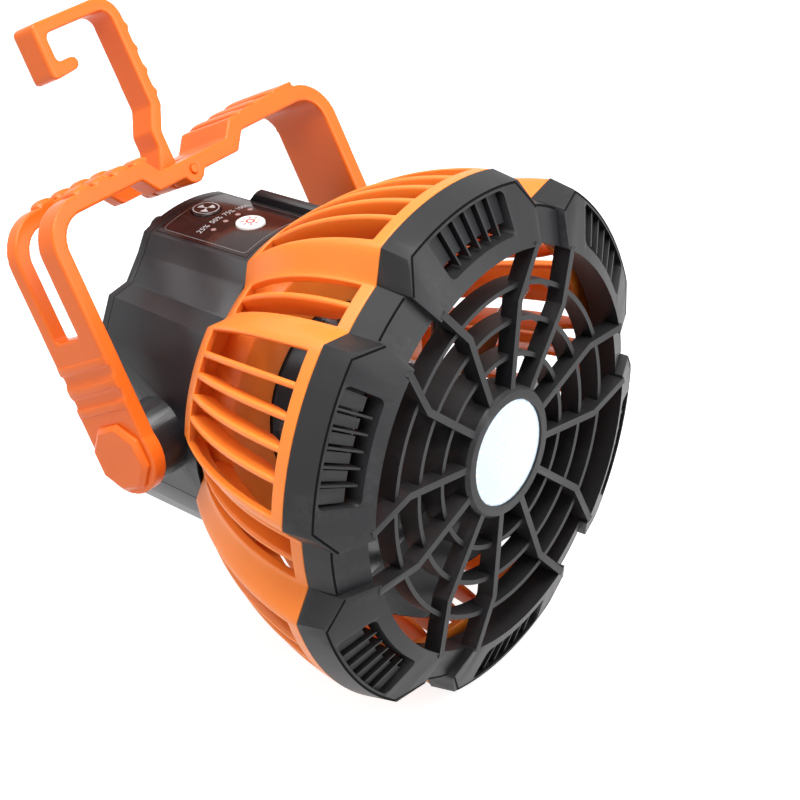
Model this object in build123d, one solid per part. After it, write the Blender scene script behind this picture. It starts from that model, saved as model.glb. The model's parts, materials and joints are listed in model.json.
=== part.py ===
from build123d import *
import os
from math import atan2, cos, degrees, radians, sin, sqrt

# Portable camping fan: a round head that throws air forwards, a motor and battery housing
# behind it, a bail that swings about the housing and a hook that folds into the bail.
#
# Everything is drawn in the fan's own place: the air axis is Y, the front face of the grille
# lies at Y = 0 and the back at +Y, +Z is up through the control panel, and X is along the
# bail's pivot. Angles round the air axis are counted from +Z towards +X. On export the whole
# fan moves so that its origin is the seat of the hook, where it hangs.

# ---------------------------------------------------------------- driving dimensions (mm)
WALL = 2.4                  # moulded walls
PANELS = 6                  # raised panels round the bezel, and raised sectors of the body
PITCH = 360 / PANELS
PANEL_TURN = -4.1           # first raised panel's centre, from +Z towards +X (degrees)
FIT_GAP = 0.3               # between pieces that move past each other
SEAM = 0.2                  # between fixed shells that meet

# grille
MOUTH_R = 66.0              # radius of the bezel's opening
FACE_SLOPE = 0.45           # how far the bezel's face falls back per millimetre outwards
POCKET_R = (70.5, 83.5)                 # a vent pocket's inner and outer radius
POCKET_HALF = 13.0                      # its half angle (degrees)
POCKET_DEEP = 6.0                       # floor of the pocket below the face, on its outer side
POCKET_CORNER = 2.0
POCKET_FINS = 5
POCKET_STEP = 4.0                       # angle from one fin to the next
FIN = 0.7
FIN_DROP = 0.9                          # the fins' front edges lie this far below the face
PAD_R = 74.0                            # the pads between the fins reach inwards to here
PAD_DROP = 2.4
PAD_GAP = 0.8                           # between a pad and its fins
RAISED_EDGE_R = POCKET_R[1] + 1.5       # outer edge of a raised panel's face
SKIRT_DRAFT = 1.6                       # how much the skirt grows from the face to its back edge
BEZEL_R = RAISED_EDGE_R + SKIRT_DRAFT   # outside radius at the skirt's back edge
BEZEL_BACK = 18.0           # back edge of the bezel's skirt
STEP = 3.0                  # a recess lies this far behind the raised panels
RECESS_EDGE_R = 77.0        # outer edge of a recess's face
RECESS_DRAFT = 1.0
RECESS_R = RECESS_EDGE_R + RECESS_DRAFT # outside radius of a recess at the skirt's back edge
DUCT_BACK = 24.0            # back end of the wall round the opening
PANEL_HALF = (22.5, 24.0, 18.0)         # half angles of a panel: at the mouth, side and outer edge
SKIRT_HALF = (23.9, 18.8)               # the same at the skirt's back edge: side and outer edge
REACH = BEZEL_R + 25                    # cutters reach this far out
RIB = 2.4                   # width of a spoke
RIB_DEPTH = 6.0
HUB_R = 21.5                # outside radius of the ring round the lamp
KINK_R = 49.6               # where a spoke turns
KINK_HALF = 15.0            # half angle between the two spokes of a pair, up to the kink
SPOKE_END_HALF = 8.8        # and at the mouth
RINGS = (31.5, 43.0, 54.3)  # radii of the guard rings
RING_WIDTH = 1.6
RING_Y = (1.6, 8.6)         # front and back of a guard ring
GRILLE_BOSS_R = 2.9
SCREW_CIRCLE_R = MOUTH_R + 6.2
SCREW_TURN = 10.5           # the grille's screws stand this far round from the recesses
SCREW_R = 1.25

# lamp
LENS_R = 17.4
LENS_SAG = 1.8              # how far the lens bulges forwards
LENS_WALL = 1.6
CUP_DEPTH = 10.5
LED_BOARD_R = 15.6
LED_BOARD_Y = 5.4
LED_BOARD_THICK = 1.2
LED_SIZE = (2.8, 2.8, 0.9)
LED_RING_R = 10.0
LED_COUNT = 9

# body: how far it draws in behind the bezel, as (inwards, backwards) from the skirt's back edge
RAISED_DRAW = ((0.0, SEAM), (11.0, 37.0), (29.0, 65.0))
RECESS_DRAW = ((0.0, SEAM), (8.6, 37.0), (26.8, 65.0))
REAR_HALF = (23.2, 17.6)    # half angles of a raised sector at the back: side and outer edge
SHELL = 3.0
BODY_BACK = BEZEL_BACK + RAISED_DRAW[2][1]
WINDOW_Y = (BEZEL_BACK + 5.2, BEZEL_BACK + 58.5)
WINDOW_HALF = 16.9
SLATS = (-9.6, -3.2, 3.2, 9.6)          # angles of the slats across a raised sector's window
SLAT = 2.1
SLAT_DEEP = 8.0
RECESS_HALF = 6.0           # half angle of a recess's window, which one slat divides
RECESS_SLAT_DEEP = 10.0
FRAME = 2.2                 # ribs along the windows' sides
RIM_FLANGE = 2.6
PLUG_R = 47.4               # the housing's round front end inside the shell

# impeller and motor
TIP_R = 61.5
IMPELLER_Y = (14.5, 35.0)
IMPELLER_HUB_R = 19.0
BLADES = 7
BLADE_THICK = 1.6
BLADE_SECTIONS = ((17.5, 24.0, 52.0), (40.0, 31.0, 36.0), (63.0, 37.0, 27.0))  # radius, chord, pitch
SHAFT_R = 1.5
SHAFT_CLEARANCE = 0.05
MOTOR_R = 18.5
MOTOR_Y = (43.0, 69.6)
MOTOR_BUSH = (3.5, 2.0)     # radius and length of the front bush
MOUNT_THICK = 2.4
MOUNT_SCREW_R = 26.0

# housing: half of its section, (X, Z), from the crown down to the keel
HOUSING_Y = (72.0, 127.6)
CROWN_Z = 54.4
SHOULDER = ((18.3, 51.5), (22.2, 45.4), (32.0, 37.6), (41.4, 36.4))
FLANK = ((48.6, 24.0), (52.0, 9.0), (51.8, -8.0), (49.6, -22.0), (47.0, -29.0))
KEEL = ((38.5, -39.5), (22.0, -45.5))
KEEL_Z = -46.0
BACK_SHRINK = 0.9           # the flanks draw in to this share at the back
SPLIT_Z = -21.0             # the lower shell meets the upper one here
COVER_THICK = 3.9
COVER_BEVEL = 1.2
LIP = 3.2                   # the cover's lip reaches this far into the housing
BOARD_Y = 104.6             # middle of the main board
FOOT_R = 3.8
FOOT_HIGH = 2.6
FEET = ((9.2, 48.4), (30.0, -33.0))     # (X, Z) of the rubber feet, one of each on both sides
COVER_SCREWS = ((33.0, 29.0), (38.0, -26.0))
LEDGE_X = (18.2, 22.0)      # a bar along the crown's right edge
LEDGE_Y = (84.0, 113.5)
LEDGE_Z = 55.0
LEDGE_RAMP = 4.5

# control panel
PANEL_X = 16.6              # half width
PANEL_Y = (87.5, 126.0)
PANEL_THICK = 1.6
PANEL_POCKET = 1.8
FAN_BUTTON_Y = 119.2
LIGHT_BUTTON_Y = 99.9
BUTTON_R = 4.9
BUTTON_HOLE_R = 5.2
BUTTON_RISE = 0.7
BUTTON_TRAVEL = 0.8
BUTTON_STEM = (3.2, 3.4)    # radius and length under the cap
DOT_Y = 108.0
DOT_X = (-9.0, -3.0, 3.0, 9.0)
DOT_R = 0.9
BOARD = (30.0, 36.0, 1.6)   # main board: X, Y, thickness

# batteries
CELL_R = 9.1
CELL_LENGTH = 65.0
CELL_YZ = ((94.8, -9.4), (113.05, -9.4), (94.8, -28.6), (113.05, -28.6))
CRADLE_WALL = 1.4

# ports on the back
USB_C_AT = (-13.0, -4.0)
USB_C_SIZE = (9.0, 3.3)
USB_A_AT = (10.0, -4.0)
USB_A_SIZE = (13.1, 5.8)
PORT_DEPTH = 7.6
PORT_WALL = 0.4

# bail: drawn upright about its pivot, then leaned back
PIVOT = (100.5, 0.0)        # (Y, Z) of the pivot line
LEAN = 26.0                 # degrees back from upright, at rest
BAIL_X = 67.5               # outside half width
BAIL_TOP = 81.0             # from the pivot to the top of the bar
STRIP = 5.5                 # thickness of the bail's strip
STRIP_W = 25.5              # and its width
BAIL_CORNER = 15.0          # outside corner radius
DIP = 5.6                   # the middle of the bar lies this much lower
DIP_TOP = 20.5              # half length of the dip at the top
DIP_RUN = 5.0               # length of each sloping step into the dip
ARM_END_R = 13.4
SLOT_W = 11.6
SLOT_SHIFT = 1.5            # the slot lies this far behind the strip's middle
ARM_SLOT_END = 40.4         # lower end of the slot in the left arm
GRIP_Z = (30.0, 26.0, 21.8, 18.0)
GRIP_DEPTH = 0.7
BAR_STEPS = (26.0, 35.0, 44.0)
RIB_X = (-30.0, -38.6, -47.2)
CAP_SEAT = 2.5              # depth of the recess under the cap
CAP_FLATS = 22.0
CAP_PROUD = 2.6
BOSS_R = 12.6
SPIGOT_R = 4.95
RUN_CLEARANCE = 0.05
WASHER_R = 7.0
WASHER_THICK = 0.7

# hook: in the bail's plane, (X, distance from the pivot)
PIN = (-2.4, 71.4)
PIN_R = 1.5
HOOK_W = 10.8
HOOK_T = 4.4
HOOK_TOP = 134.0
HOOK_REACH = -32.6          # outside of the tip
HOOK_TIP = 115.0            # lower end of the tip
HOOK_LIP = 10.0
HOOK_CORNER = 9.0
JOG = ((-2.6, 87.0), (1.9, 95.0))
LUG_R = 4.6
SEAT_X = -15.0


# ---------------------------------------------------------------- small helpers
def around(shape, angle):
    """Turn a shape about the air axis, from +Z towards +X."""
    return Rot(0, angle, 0) * shape


def polar(radius, angle):
    """X and Z of a point at this radius and angle round the air axis."""
    return radius * sin(radians(angle)), radius * cos(radians(angle))


def lathe(*points):
    """Solid of revolution about the air axis from (radius, Y) corners."""
    return revolve(make_face(Polyline(*points, close=True)), Axis.Y)


def slab(corners, front, back):
    """Prism along Y between two depths, from (X, Z) corners."""
    face = make_face(Polyline(*[(x, front, z) for x, z in corners], close=True))
    return extrude(face, back - front, dir=(0, 1, 0))


def box_between(low, high):
    """Box from its lowest corner to its highest one."""
    size = [b - a for a, b in zip(low, high)]
    middle = [(a + b) / 2 for a, b in zip(low, high)]
    return Pos(*middle) * Box(*size)


def rod_y(radius, front, back, x=0.0, z=0.0):
    """Cylinder along Y between two depths."""
    return Pos(x, (front + back) / 2, z) * Rot(90, 0, 0) * Cylinder(radius, back - front)


def rod_x(radius, left, right, y=0.0, z=0.0):
    """Cylinder along X between two places."""
    return Pos((left + right) / 2, y, z) * Rot(0, 90, 0) * Cylinder(radius, right - left)


def rod_z(radius, low, high, x=0.0, y=0.0):
    """Cylinder along Z between two heights."""
    return Pos(x, y, (low + high) / 2) * Cylinder(radius, high - low)


def wedge(half, middle=0.0, front=-20.0, back=100.0):
    """Everything within half an angle of one direction round the air axis."""
    tip = (0.0, 0.0)
    return slab((tip, polar(REACH, middle - half), polar(REACH, middle + half)), front, back)


def plate(thick, angle, front, back):
    """Flat plate from the air axis outwards in one direction."""
    return around(box_between((-thick / 2, front, 0), (thick / 2, back, REACH)), angle)


def mirrored(shape):
    return mirror(shape, Plane.YZ)


def panel_angles():
    return [PANEL_TURN + PITCH * k for k in range(PANELS)]


def recess_angles():
    return [a + PITCH / 2 for a in panel_angles()]


def screw_angles():
    return [a + SCREW_TURN for a in recess_angles()]


def face_y(radius):
    """Depth of the raised panels' face at a radius."""
    return (radius - MOUTH_R) * FACE_SLOPE


# ---------------------------------------------------------------- grille
def panel_outline(depth, side, outer, side_r, outer_r):
    """Front view of a raised panel, centred on +Z, as a face at a depth."""
    inner, corner = polar(side_r, side), polar(outer_r, outer)
    run = (BEZEL_R + 8 - corner[1]) / (corner[1] - inner[1])
    beyond = (corner[0] + run * (corner[0] - inner[0]), BEZEL_R + 8)
    right = [polar(MOUTH_R - 3, PANEL_HALF[0]), inner, beyond]
    points = right + [(-x, z) for x, z in reversed(right)]
    return make_face(Polyline(*[(x, depth, z) for x, z in points], close=True))


def panel_block(inset=0.0):
    """Everything inside a raised panel's sides, from in front of the face to the skirt's back edge."""
    shy = degrees(inset / RECESS_R)
    _, side, outer = PANEL_HALF
    front = panel_outline(-4, side - shy, outer - shy, RECESS_EDGE_R, RAISED_EDGE_R)
    back = panel_outline(BEZEL_BACK + 1, SKIRT_HALF[0] - shy, SKIRT_HALF[1] - shy, RECESS_R, BEZEL_R)
    return loft([front, back], ruled=True)


def bezel():
    recess_y = face_y(RECESS_EDGE_R) + STEP
    recessed = lathe((MOUTH_R, STEP), (RECESS_EDGE_R, recess_y), (RECESS_R, BEZEL_BACK), (MOUTH_R, BEZEL_BACK))
    raised = lathe((MOUTH_R, 0), (RAISED_EDGE_R, face_y(RAISED_EDGE_R)), (BEZEL_R, BEZEL_BACK),
                   (MOUTH_R, BEZEL_BACK))
    hollow = lathe((MOUTH_R + WALL, STEP + WALL + 1), (RECESS_EDGE_R - WALL, recess_y + WALL),
                   (RECESS_R - WALL, BEZEL_BACK + 1), (MOUTH_R + WALL, BEZEL_BACK + 1))
    floor_y = face_y(RECESS_EDGE_R) + POCKET_DEEP + WALL
    raised_hollow = lathe((RECESS_EDGE_R - WALL - 1, floor_y), (RAISED_EDGE_R - WALL, floor_y + 3),
                          (BEZEL_R - WALL, BEZEL_BACK + 1), (RECESS_EDGE_R - WALL - 1, BEZEL_BACK + 1))
    panel = raised & panel_block()
    room = raised_hollow & panel_block(WALL)
    body = recessed
    for angle in panel_angles():
        body += around(panel, angle)
    body -= hollow
    for angle in panel_angles():
        body -= around(room, angle)
    duct = lathe((MOUTH_R, BEZEL_BACK - 1), (MOUTH_R + WALL, BEZEL_BACK - 1),
                 (MOUTH_R + WALL, DUCT_BACK), (MOUTH_R, DUCT_BACK))
    return body + duct


def face_ring(inner, outer, front_drop, back_drop):
    """Ring that follows the raised face, between two depths below it."""
    return lathe((inner, face_y(inner) + front_drop), (outer, face_y(outer) + front_drop),
                 (outer, face_y(outer) + back_drop), (inner, face_y(inner) + back_drop))


def pocket_blank():
    """One vent pocket on the +Z panel, from in front of the face to the pocket's floor."""
    inner, outer = POCKET_R
    blank = face_ring(inner, outer, -2, POCKET_DEEP) & wedge(POCKET_HALF)
    upright = [e for e in blank.edges() if abs(e.center().Y - face_y((inner + outer) / 2) - 2) < 3
               and abs(degrees(atan2(abs(e.center().X), e.center().Z)) - POCKET_HALF) < 0.5
               and e.length < POCKET_DEEP + 2.5]
    return fillet(upright, POCKET_CORNER) if len(upright) == 4 else blank


def pocket_fins():
    """Fins that cross the pocket, and the pads between them on its outer half."""
    inner, outer = POCKET_R
    ring = face_ring(inner + 1.2, outer + 0.3, FIN_DROP, POCKET_DEEP + 0.4)
    pads = face_ring(PAD_R, outer + 0.3, PAD_DROP, POCKET_DEEP + 0.4)
    first = -POCKET_STEP * (POCKET_FINS - 1) / 2
    places = [first + POCKET_STEP * k for k in range(POCKET_FINS)]
    fins = [ring & plate(FIN, a, 0, BEZEL_BACK) for a in places]
    shy = degrees((PAD_GAP + FIN / 2) / POCKET_R[1])
    edges = [-POCKET_HALF] + places + [POCKET_HALF]
    for low, high in zip(edges[:-1], edges[1:]):
        fins.append(pads & wedge((high - low) / 2 - shy, (low + high) / 2))
    return fins


def spokes():
    ribs = []
    for angle in recess_angles():
        for side in (-1, 1):
            start = polar(HUB_R - 1.5, angle + side * KINK_HALF)
            kink = polar(KINK_R, angle + side * KINK_HALF)
            end = polar(MOUTH_R + 1.2, angle + side * SPOKE_END_HALF)
            for a, b in ((start, kink), (kink, end)):
                ribs.append(rib_between(a, b))
            ribs.append(rod_y(RIB / 2, 0, RIB_DEPTH, *kink))
    return ribs


def rib_between(a, b):
    """Straight rib of the spokes' width between two (X, Z) points."""
    length = sqrt((b[0] - a[0]) ** 2 + (b[1] - a[1]) ** 2)
    turn = degrees(atan2(b[0] - a[0], b[1] - a[1]))
    middle = ((a[0] + b[0]) / 2, RIB_DEPTH / 2, (a[1] + b[1]) / 2)
    return Pos(*middle) * Rot(0, turn, 0) * Box(RIB, RIB_DEPTH, length)


def front_grille():
    grille = bezel()
    blank, inserts = pocket_blank(), pocket_fins()
    pockets = [around(blank, a) for a in panel_angles()]
    fins = [around(fin, a) for a in panel_angles() for fin in inserts]
    bosses = []
    for angle in screw_angles():
        bosses.append(rod_y(GRILLE_BOSS_R, STEP + WALL + 2, BEZEL_BACK, *polar(SCREW_CIRCLE_R, angle)))
    grille = grille - pockets + fins + bosses
    grille += spokes()
    for radius in RINGS:
        grille += lathe((radius - RING_WIDTH / 2, RING_Y[0]), (radius + RING_WIDTH / 2, RING_Y[0]),
                        (radius + RING_WIDTH / 2, RING_Y[1]), (radius - RING_WIDTH / 2, RING_Y[1]))
    hub = lathe((LENS_R + SEAM, -0.8), (HUB_R - 1, -0.8), (HUB_R, 0.6), (HUB_R, CUP_DEPTH), (0, CUP_DEPTH),
                (0, CUP_DEPTH - WALL), (LENS_R + SEAM, CUP_DEPTH - WALL))
    grille += hub
    holes = [rod_y(SCREW_R, BEZEL_BACK - 8, BEZEL_BACK + 1, *polar(SCREW_CIRCLE_R, a)) for a in screw_angles()]
    return grille - holes


# ---------------------------------------------------------------- lamp
def lens_cap(sag, radius, front):
    """Spherical cap bulging forwards from a disc at depth front."""
    ball = (radius * radius + sag * sag) / (2 * sag)
    centre = front - sag + ball
    return Pos(0, centre, 0) * Sphere(ball) & rod_y(radius, front - sag - 1, front)


def lamp_lens():
    dome = lens_cap(LENS_SAG, LENS_R, 0.0) + rod_y(LENS_R, 0, LED_BOARD_Y - 1.6)
    inside = lens_cap(LENS_SAG, LENS_R - LENS_WALL, LENS_WALL)
    return dome - inside - rod_y(LENS_R - LENS_WALL, LENS_WALL, LED_BOARD_Y)


def led_board():
    return rod_y(LED_BOARD_R, LED_BOARD_Y, LED_BOARD_Y + LED_BOARD_THICK)


def lamp_cup():
    """Frame that holds the lamp's board behind the lens."""
    back = CUP_DEPTH - WALL
    ring = lathe((LED_BOARD_R - 2, LED_BOARD_Y + LED_BOARD_THICK), (LENS_R, LED_BOARD_Y + LED_BOARD_THICK),
                 (LENS_R, back), (LED_BOARD_R - 2, back))
    collar = lathe((LED_BOARD_R + 0.1, LED_BOARD_Y - 1.5), (LENS_R, LED_BOARD_Y - 1.5),
                   (LENS_R, LED_BOARD_Y + LED_BOARD_THICK + 0.1),
                   (LED_BOARD_R + 0.1, LED_BOARD_Y + LED_BOARD_THICK + 0.1))
    return ring + collar


def leds():
    w, h, t = LED_SIZE
    chip = Pos(0, LED_BOARD_Y - t / 2, 0) * Box(w, t, h)
    chips = [chip]
    for k in range(LED_COUNT - 1):
        chips.append(around(Pos(0, 0, LED_RING_R) * chip, 360 * k / (LED_COUNT - 1)))
    return Compound(children=chips)


# ---------------------------------------------------------------- body
def flare(outer_r, draw):
    """Three points (radius, Y) of a flare that starts at a radius behind the bezel."""
    return [(outer_r - inwards, BEZEL_BACK + backwards) for inwards, backwards in draw]


def flare_radius(points, depth):
    """Radius of a flare at a depth: the circle through its three points."""
    (r0, y0), (r1, y1), (r2, y2) = points
    a, b, c = r1 - r0, y1 - y0, (r1 * r1 - r0 * r0 + y1 * y1 - y0 * y0) / 2
    d, e, f = r2 - r0, y2 - y0, (r2 * r2 - r0 * r0 + y2 * y2 - y0 * y0) / 2
    centre_r = (c * e - b * f) / (a * e - b * d)
    centre_y = (a * f - c * d) / (a * e - b * d)
    ball = sqrt((r0 - centre_r) ** 2 + (y0 - centre_y) ** 2)
    return centre_r + sqrt(ball * ball - (depth - centre_y) ** 2)


def inside_flare(points, inset, front, back):
    """Solid inside a flare drawn in by an inset, between two depths."""
    (r0, y0), (r1, y1), (r2, y2) = points
    arc = ThreePointArc((r0 - inset, y0), (r1 - inset, y1), (r2 - inset, y2))
    sides = Polyline((r2 - inset, y2), (0, y2), (0, y0), (r0 - inset, y0))
    whole = revolve(make_face(arc + sides), Axis.Y)
    return whole & rod_y(REACH, front, back)


def raised_flare():
    return flare(BEZEL_R, RAISED_DRAW)


def recess_flare():
    return flare(RECESS_R, RECESS_DRAW)


def sector_block(inset=0.0):
    """Everything inside a raised sector's chamfered sides, from the bezel to the back."""
    front, back = BEZEL_BACK + SEAM, BODY_BACK
    shy = degrees(inset / RECESS_R)
    faces = []
    for k in range(5):
        share = k / 4
        depth = front + (back - front) * share
        side = SKIRT_HALF[0] + (REAR_HALF[0] - SKIRT_HALF[0]) * share - shy
        outer = SKIRT_HALF[1] + (REAR_HALF[1] - SKIRT_HALF[1]) * share - shy
        inner = polar(flare_radius(recess_flare(), depth), side)
        corner = polar(flare_radius(raised_flare(), depth), outer)
        run = 8 / (corner[1] - inner[1])
        beyond = (corner[0] + run * (corner[0] - inner[0]), corner[1] + 8)
        points = [(0, 0), inner, beyond, (-beyond[0], beyond[1]), (-inner[0], inner[1])]
        faces.append(make_face(Polyline(*[(x, depth, z) for x, z in points], close=True)))
    return loft(faces, ruled=True)


def slat(points, deep, thick):
    """Deep rib under the skin in the +Z direction, clear of the grille's duct."""
    front, back = BEZEL_BACK + SEAM, BODY_BACK
    rib = plate(thick, 0, front, back) & inside_flare(points, 0, front, back)
    rib -= inside_flare(points, deep, front, back)
    return rib - rod_y(MOUTH_R + WALL + 2 * SEAM, 0, DUCT_BACK + SEAM)


def ribs(sector):
    """Slats across the windows and frames along their sides."""
    turn = degrees(FRAME / 2 / raised_flare()[1][0])
    thin, frame = slat(raised_flare(), SLAT_DEEP, SLAT), slat(raised_flare(), SLAT_DEEP, FRAME)
    recess_thin = slat(recess_flare(), RECESS_SLAT_DEEP, SLAT)
    recess_frame = slat(recess_flare(), RECESS_SLAT_DEEP, FRAME)
    sides = [around(frame, sign * (WINDOW_HALF + turn)) & sector for sign in (-1, 1)]
    made = []
    for angle in panel_angles():
        made += [around(thin, angle + offset) for offset in SLATS]
        made += [around(side, angle) for side in sides]
    for angle in recess_angles():
        made.append(around(recess_thin, angle))
        made += [around(recess_frame, angle + sign * (RECESS_HALF + turn)) for sign in (-1, 1)]
    return made


def body_shell():
    front, back = BEZEL_BACK + SEAM, BODY_BACK
    raised, recess = raised_flare(), recess_flare()
    sector = inside_flare(raised, 0, front, back) & sector_block()
    room = inside_flare(raised, SHELL, front, back - SHELL) & sector_block(SHELL)
    outside = inside_flare(recess, 0, front, back)
    shell = outside - inside_flare(recess, SHELL, front, back - SHELL)
    for angle in panel_angles():
        shell += around(sector, angle)
    shell -= inside_flare(recess, SHELL, front, back - SHELL)
    for angle in panel_angles():
        shell -= around(room, angle)
    # windows, cut through the skin and then divided by the slats
    band = inside_flare(raised, -5, *WINDOW_Y)
    shell -= [band & wedge(WINDOW_HALF, a) for a in panel_angles()]
    shell -= [band & wedge(RECESS_HALF, a) for a in recess_angles()]
    shell += ribs(sector)
    # front flange that carries the grille, and the round hole in the back wall for the housing
    flange = lathe((MOUTH_R + WALL + 2 * SEAM, front), (BEZEL_R - SHELL, front),
                   (BEZEL_R - SHELL, front + RIM_FLANGE), (MOUTH_R + WALL + 2 * SEAM, front + RIM_FLANGE))
    shell += flange & outside
    for angle in panel_angles():
        shell += flange & around(sector, angle)
    shell -= [rod_y(SCREW_R + 0.2, front - 1, front + 6, *polar(SCREW_CIRCLE_R, a)) for a in screw_angles()]
    return shell - rod_y(PLUG_R + SEAM, HOUSING_Y[0] - 1, back + 1)


def grille_screws():
    screws = []
    for angle in screw_angles():
        x, z = polar(SCREW_CIRCLE_R, angle)
        head = BEZEL_BACK + SEAM + RIM_FLANGE
        screws.append(rod_y(SCREW_R, BEZEL_BACK - 7, head, x, z) + rod_y(2.3, head, head + 1.6, x, z))
    return Compound(children=screws)


# ---------------------------------------------------------------- housing
def housing_face(depth, grow=0.0, shrink=1.0):
    """The housing's section as a face at a depth, grown outwards or drawn in at the flanks."""
    right = [(x * shrink if x > PANEL_X + 8 else x, z) for x, z in list(SHOULDER) + list(FLANK) + list(KEEL)]
    left = [(-x, z) for x, z in reversed(right)]
    crown = ThreePointArc(left[-1], (0, CROWN_Z), right[0])
    sides = Polyline(*right) + Polyline(*left) + Line(right[-1], left[0])
    flat = make_face(crown + sides)
    if grow:
        flat = offset(flat, amount=grow, kind=Kind.INTERSECTION)
    plane = Plane(origin=(0, depth, 0), x_dir=(1, 0, 0), z_dir=(0, -1, 0))
    return plane * flat


def housing_prism(front, back, grow=0.0):
    """The housing's outside, drawn in towards the back, between two depths."""
    return loft([housing_face(front, grow, draft(front)), housing_face(back, grow, draft(back))], ruled=True)


def draft(depth):
    """How wide the flanks stand at a depth."""
    start, end = HOUSING_Y
    return 1.02 - (1.02 - BACK_SHRINK) * (depth - start) / (end + COVER_THICK - start)


def housing_shell():
    front, back = HOUSING_Y
    outside = housing_prism(front, back)
    inside = housing_prism(front + WALL, back + 1, -WALL)
    # inside the body shell the housing is a round plug
    neck = BODY_BACK + SEAM
    plug = outside & rod_y(PLUG_R, front - 1, neck + 1)
    plug_room = inside & rod_y(PLUG_R - WALL, front - 1, neck + WALL)
    wall = (outside & rod_y(REACH, neck, neck + WALL)) - rod_y(PLUG_R - WALL, front, neck + WALL + 1)
    shell = plug - plug_room + wall
    shell += (outside - inside) & rod_y(REACH, neck, back + 1)
    shell -= rod_y(MOTOR_R + 1.4, front - 1, front + WALL + 1)
    return shell


def panel_pocket(depth, grow=0.0):
    """Space of the control panel under the crown, this deep."""
    y0, y1 = PANEL_Y
    blank = box_between((-PANEL_X - grow, y0 - grow, 40), (PANEL_X + grow, y1 + grow, 60))
    return blank & (housing_prism(*HOUSING_Y) - Pos(0, 0, -depth) * housing_prism(*HOUSING_Y))


def spigot_end():
    """The spigot stands through the arm and its washer, and the screw's head clears the washer."""
    return BAIL_X - CAP_SEAT + WASHER_THICK + FIT_GAP


def bosses(side):
    """Round boss with a spigot that carries one end of the bail."""
    y, z = PIVOT
    stop = BAIL_X - STRIP - FIT_GAP
    boss = rod_x(BOSS_R, FLANK[1][0] - 4, stop, y, z) + rod_x(SPIGOT_R, stop - 1, spigot_end(), y, z)
    boss -= rod_x(SCREW_R, stop - 8, BAIL_X, y, z)
    return boss if side > 0 else mirrored(boss)


def upper_housing():
    shell = housing_shell()
    shell = shell & box_between((-80, 60, SPLIT_Z), (80, 140, 80))
    shell += [bosses(1), bosses(-1)]
    shell += panel_pocket(PANEL_POCKET + WALL, 2 * WALL) & rod_y(REACH, BODY_BACK + SEAM, HOUSING_Y[1] - LIP - 0.4)
    shell -= panel_pocket(PANEL_POCKET, SEAM)
    opening = box_between((-PANEL_X + 2.5, PANEL_Y[0] + 3, 40), (PANEL_X - 2.5, PANEL_Y[1] - 1.2, 60))
    shell -= opening
    shell += board_posts()
    shell += ledge()
    shell += screw_posts(COVER_SCREWS[0])
    return shell - motor_screw_holes()


def ledge():
    """Bar along the crown's right edge, with a ramp at its back end."""
    (x0, x1), (y0, y1) = LEDGE_X, LEDGE_Y
    low = SHOULDER[1][1]
    y0 = max(y0, BODY_BACK + SEAM)
    side = [(y0, low), (y0, LEDGE_Z), (y1, LEDGE_Z), (y1 + LEDGE_RAMP, low + 4), (y1 + LEDGE_RAMP, low)]
    bar = extrude(make_face(Polyline(*[(x0, y, z) for y, z in side], close=True)), x1 - x0, dir=(1, 0, 0))
    top = [e for e in bar.edges().filter_by(Axis.Y) if e.center().Z > LEDGE_Z - 0.1]
    return chamfer(top, 0.8) - housing_prism(HOUSING_Y[0] + WALL, HOUSING_Y[1], -WALL)


def lower_housing():
    shell = housing_shell() & box_between((-80, 60, -60), (80, 140, SPLIT_Z - SEAM))
    shell += screw_posts(COVER_SCREWS[1])
    return shell - motor_screw_holes()


def motor_screw_holes():
    """Holes in the front wall for the motor's screws."""
    start = HOUSING_Y[0]
    return [around(rod_y(SCREW_R, start - 1, start + WALL + 1, 0, MOUNT_SCREW_R), 90 * k) for k in range(4)]


def port_hole(at, size, grow):
    x, z = at
    w, h = size[0] + 2 * grow, size[1] + 2 * grow
    y = HOUSING_Y[1]
    return box_between((x - w / 2, y - 1, z - h / 2), (x + w / 2, y + COVER_THICK + 1, z + h / 2))


def rear_cover():
    y = HOUSING_Y[1] + SEAM
    end = HOUSING_Y[1] + COVER_THICK
    bevel = end - COVER_BEVEL
    cover = housing_prism(y, bevel)
    cover += loft([housing_face(bevel, 0, draft(bevel)), housing_face(end, -COVER_BEVEL, draft(end))], ruled=True)
    inside = housing_prism(y - LIP, y + 0.2, -WALL - SEAM)
    cover += inside - housing_prism(y - LIP - 1, y + 1, -WALL - SEAM - 1.6)
    cover -= [port_hole(USB_C_AT, USB_C_SIZE, SEAM), port_hole(USB_A_AT, USB_A_SIZE, SEAM)]
    for x, z in COVER_SCREWS:
        for side in (-1, 1):
            cover -= rod_y(SCREW_R, y - 1, y + COVER_THICK + 1, side * x, z)
            cover -= rod_y(2.5, y + COVER_THICK - 1.8, y + COVER_THICK + 1, side * x, z)
    return cover


def cover_screws():
    y = HOUSING_Y[1] + COVER_THICK
    screws = []
    for x, z in COVER_SCREWS:
        for side in (-1, 1):
            screws.append(rod_y(SCREW_R, y - 14, y - 1.6, side * x, z) + rod_y(2.3, y - 1.6, y - 0.3, side * x, z))
    return Compound(children=screws)


def screw_posts(at):
    """A pair of posts inside a shell that take the cover's screws, each on a web from the flank."""
    x, z = at
    y = HOUSING_Y[1]
    top = y - LIP - 0.2
    room = housing_prism(y - 12, top, -1)
    posts = []
    for side in (-1, 1):
        post = rod_y(3.6, y - 12, top, side * x, z)
        low, high = sorted((side * x, side * (x + 20)))
        post += box_between((low, y - 12, z - 1.2), (high, top, z + 1.2)) & room
        posts.append(post - rod_y(SCREW_R, y - 11, y, side * x, z))
    return posts


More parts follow.
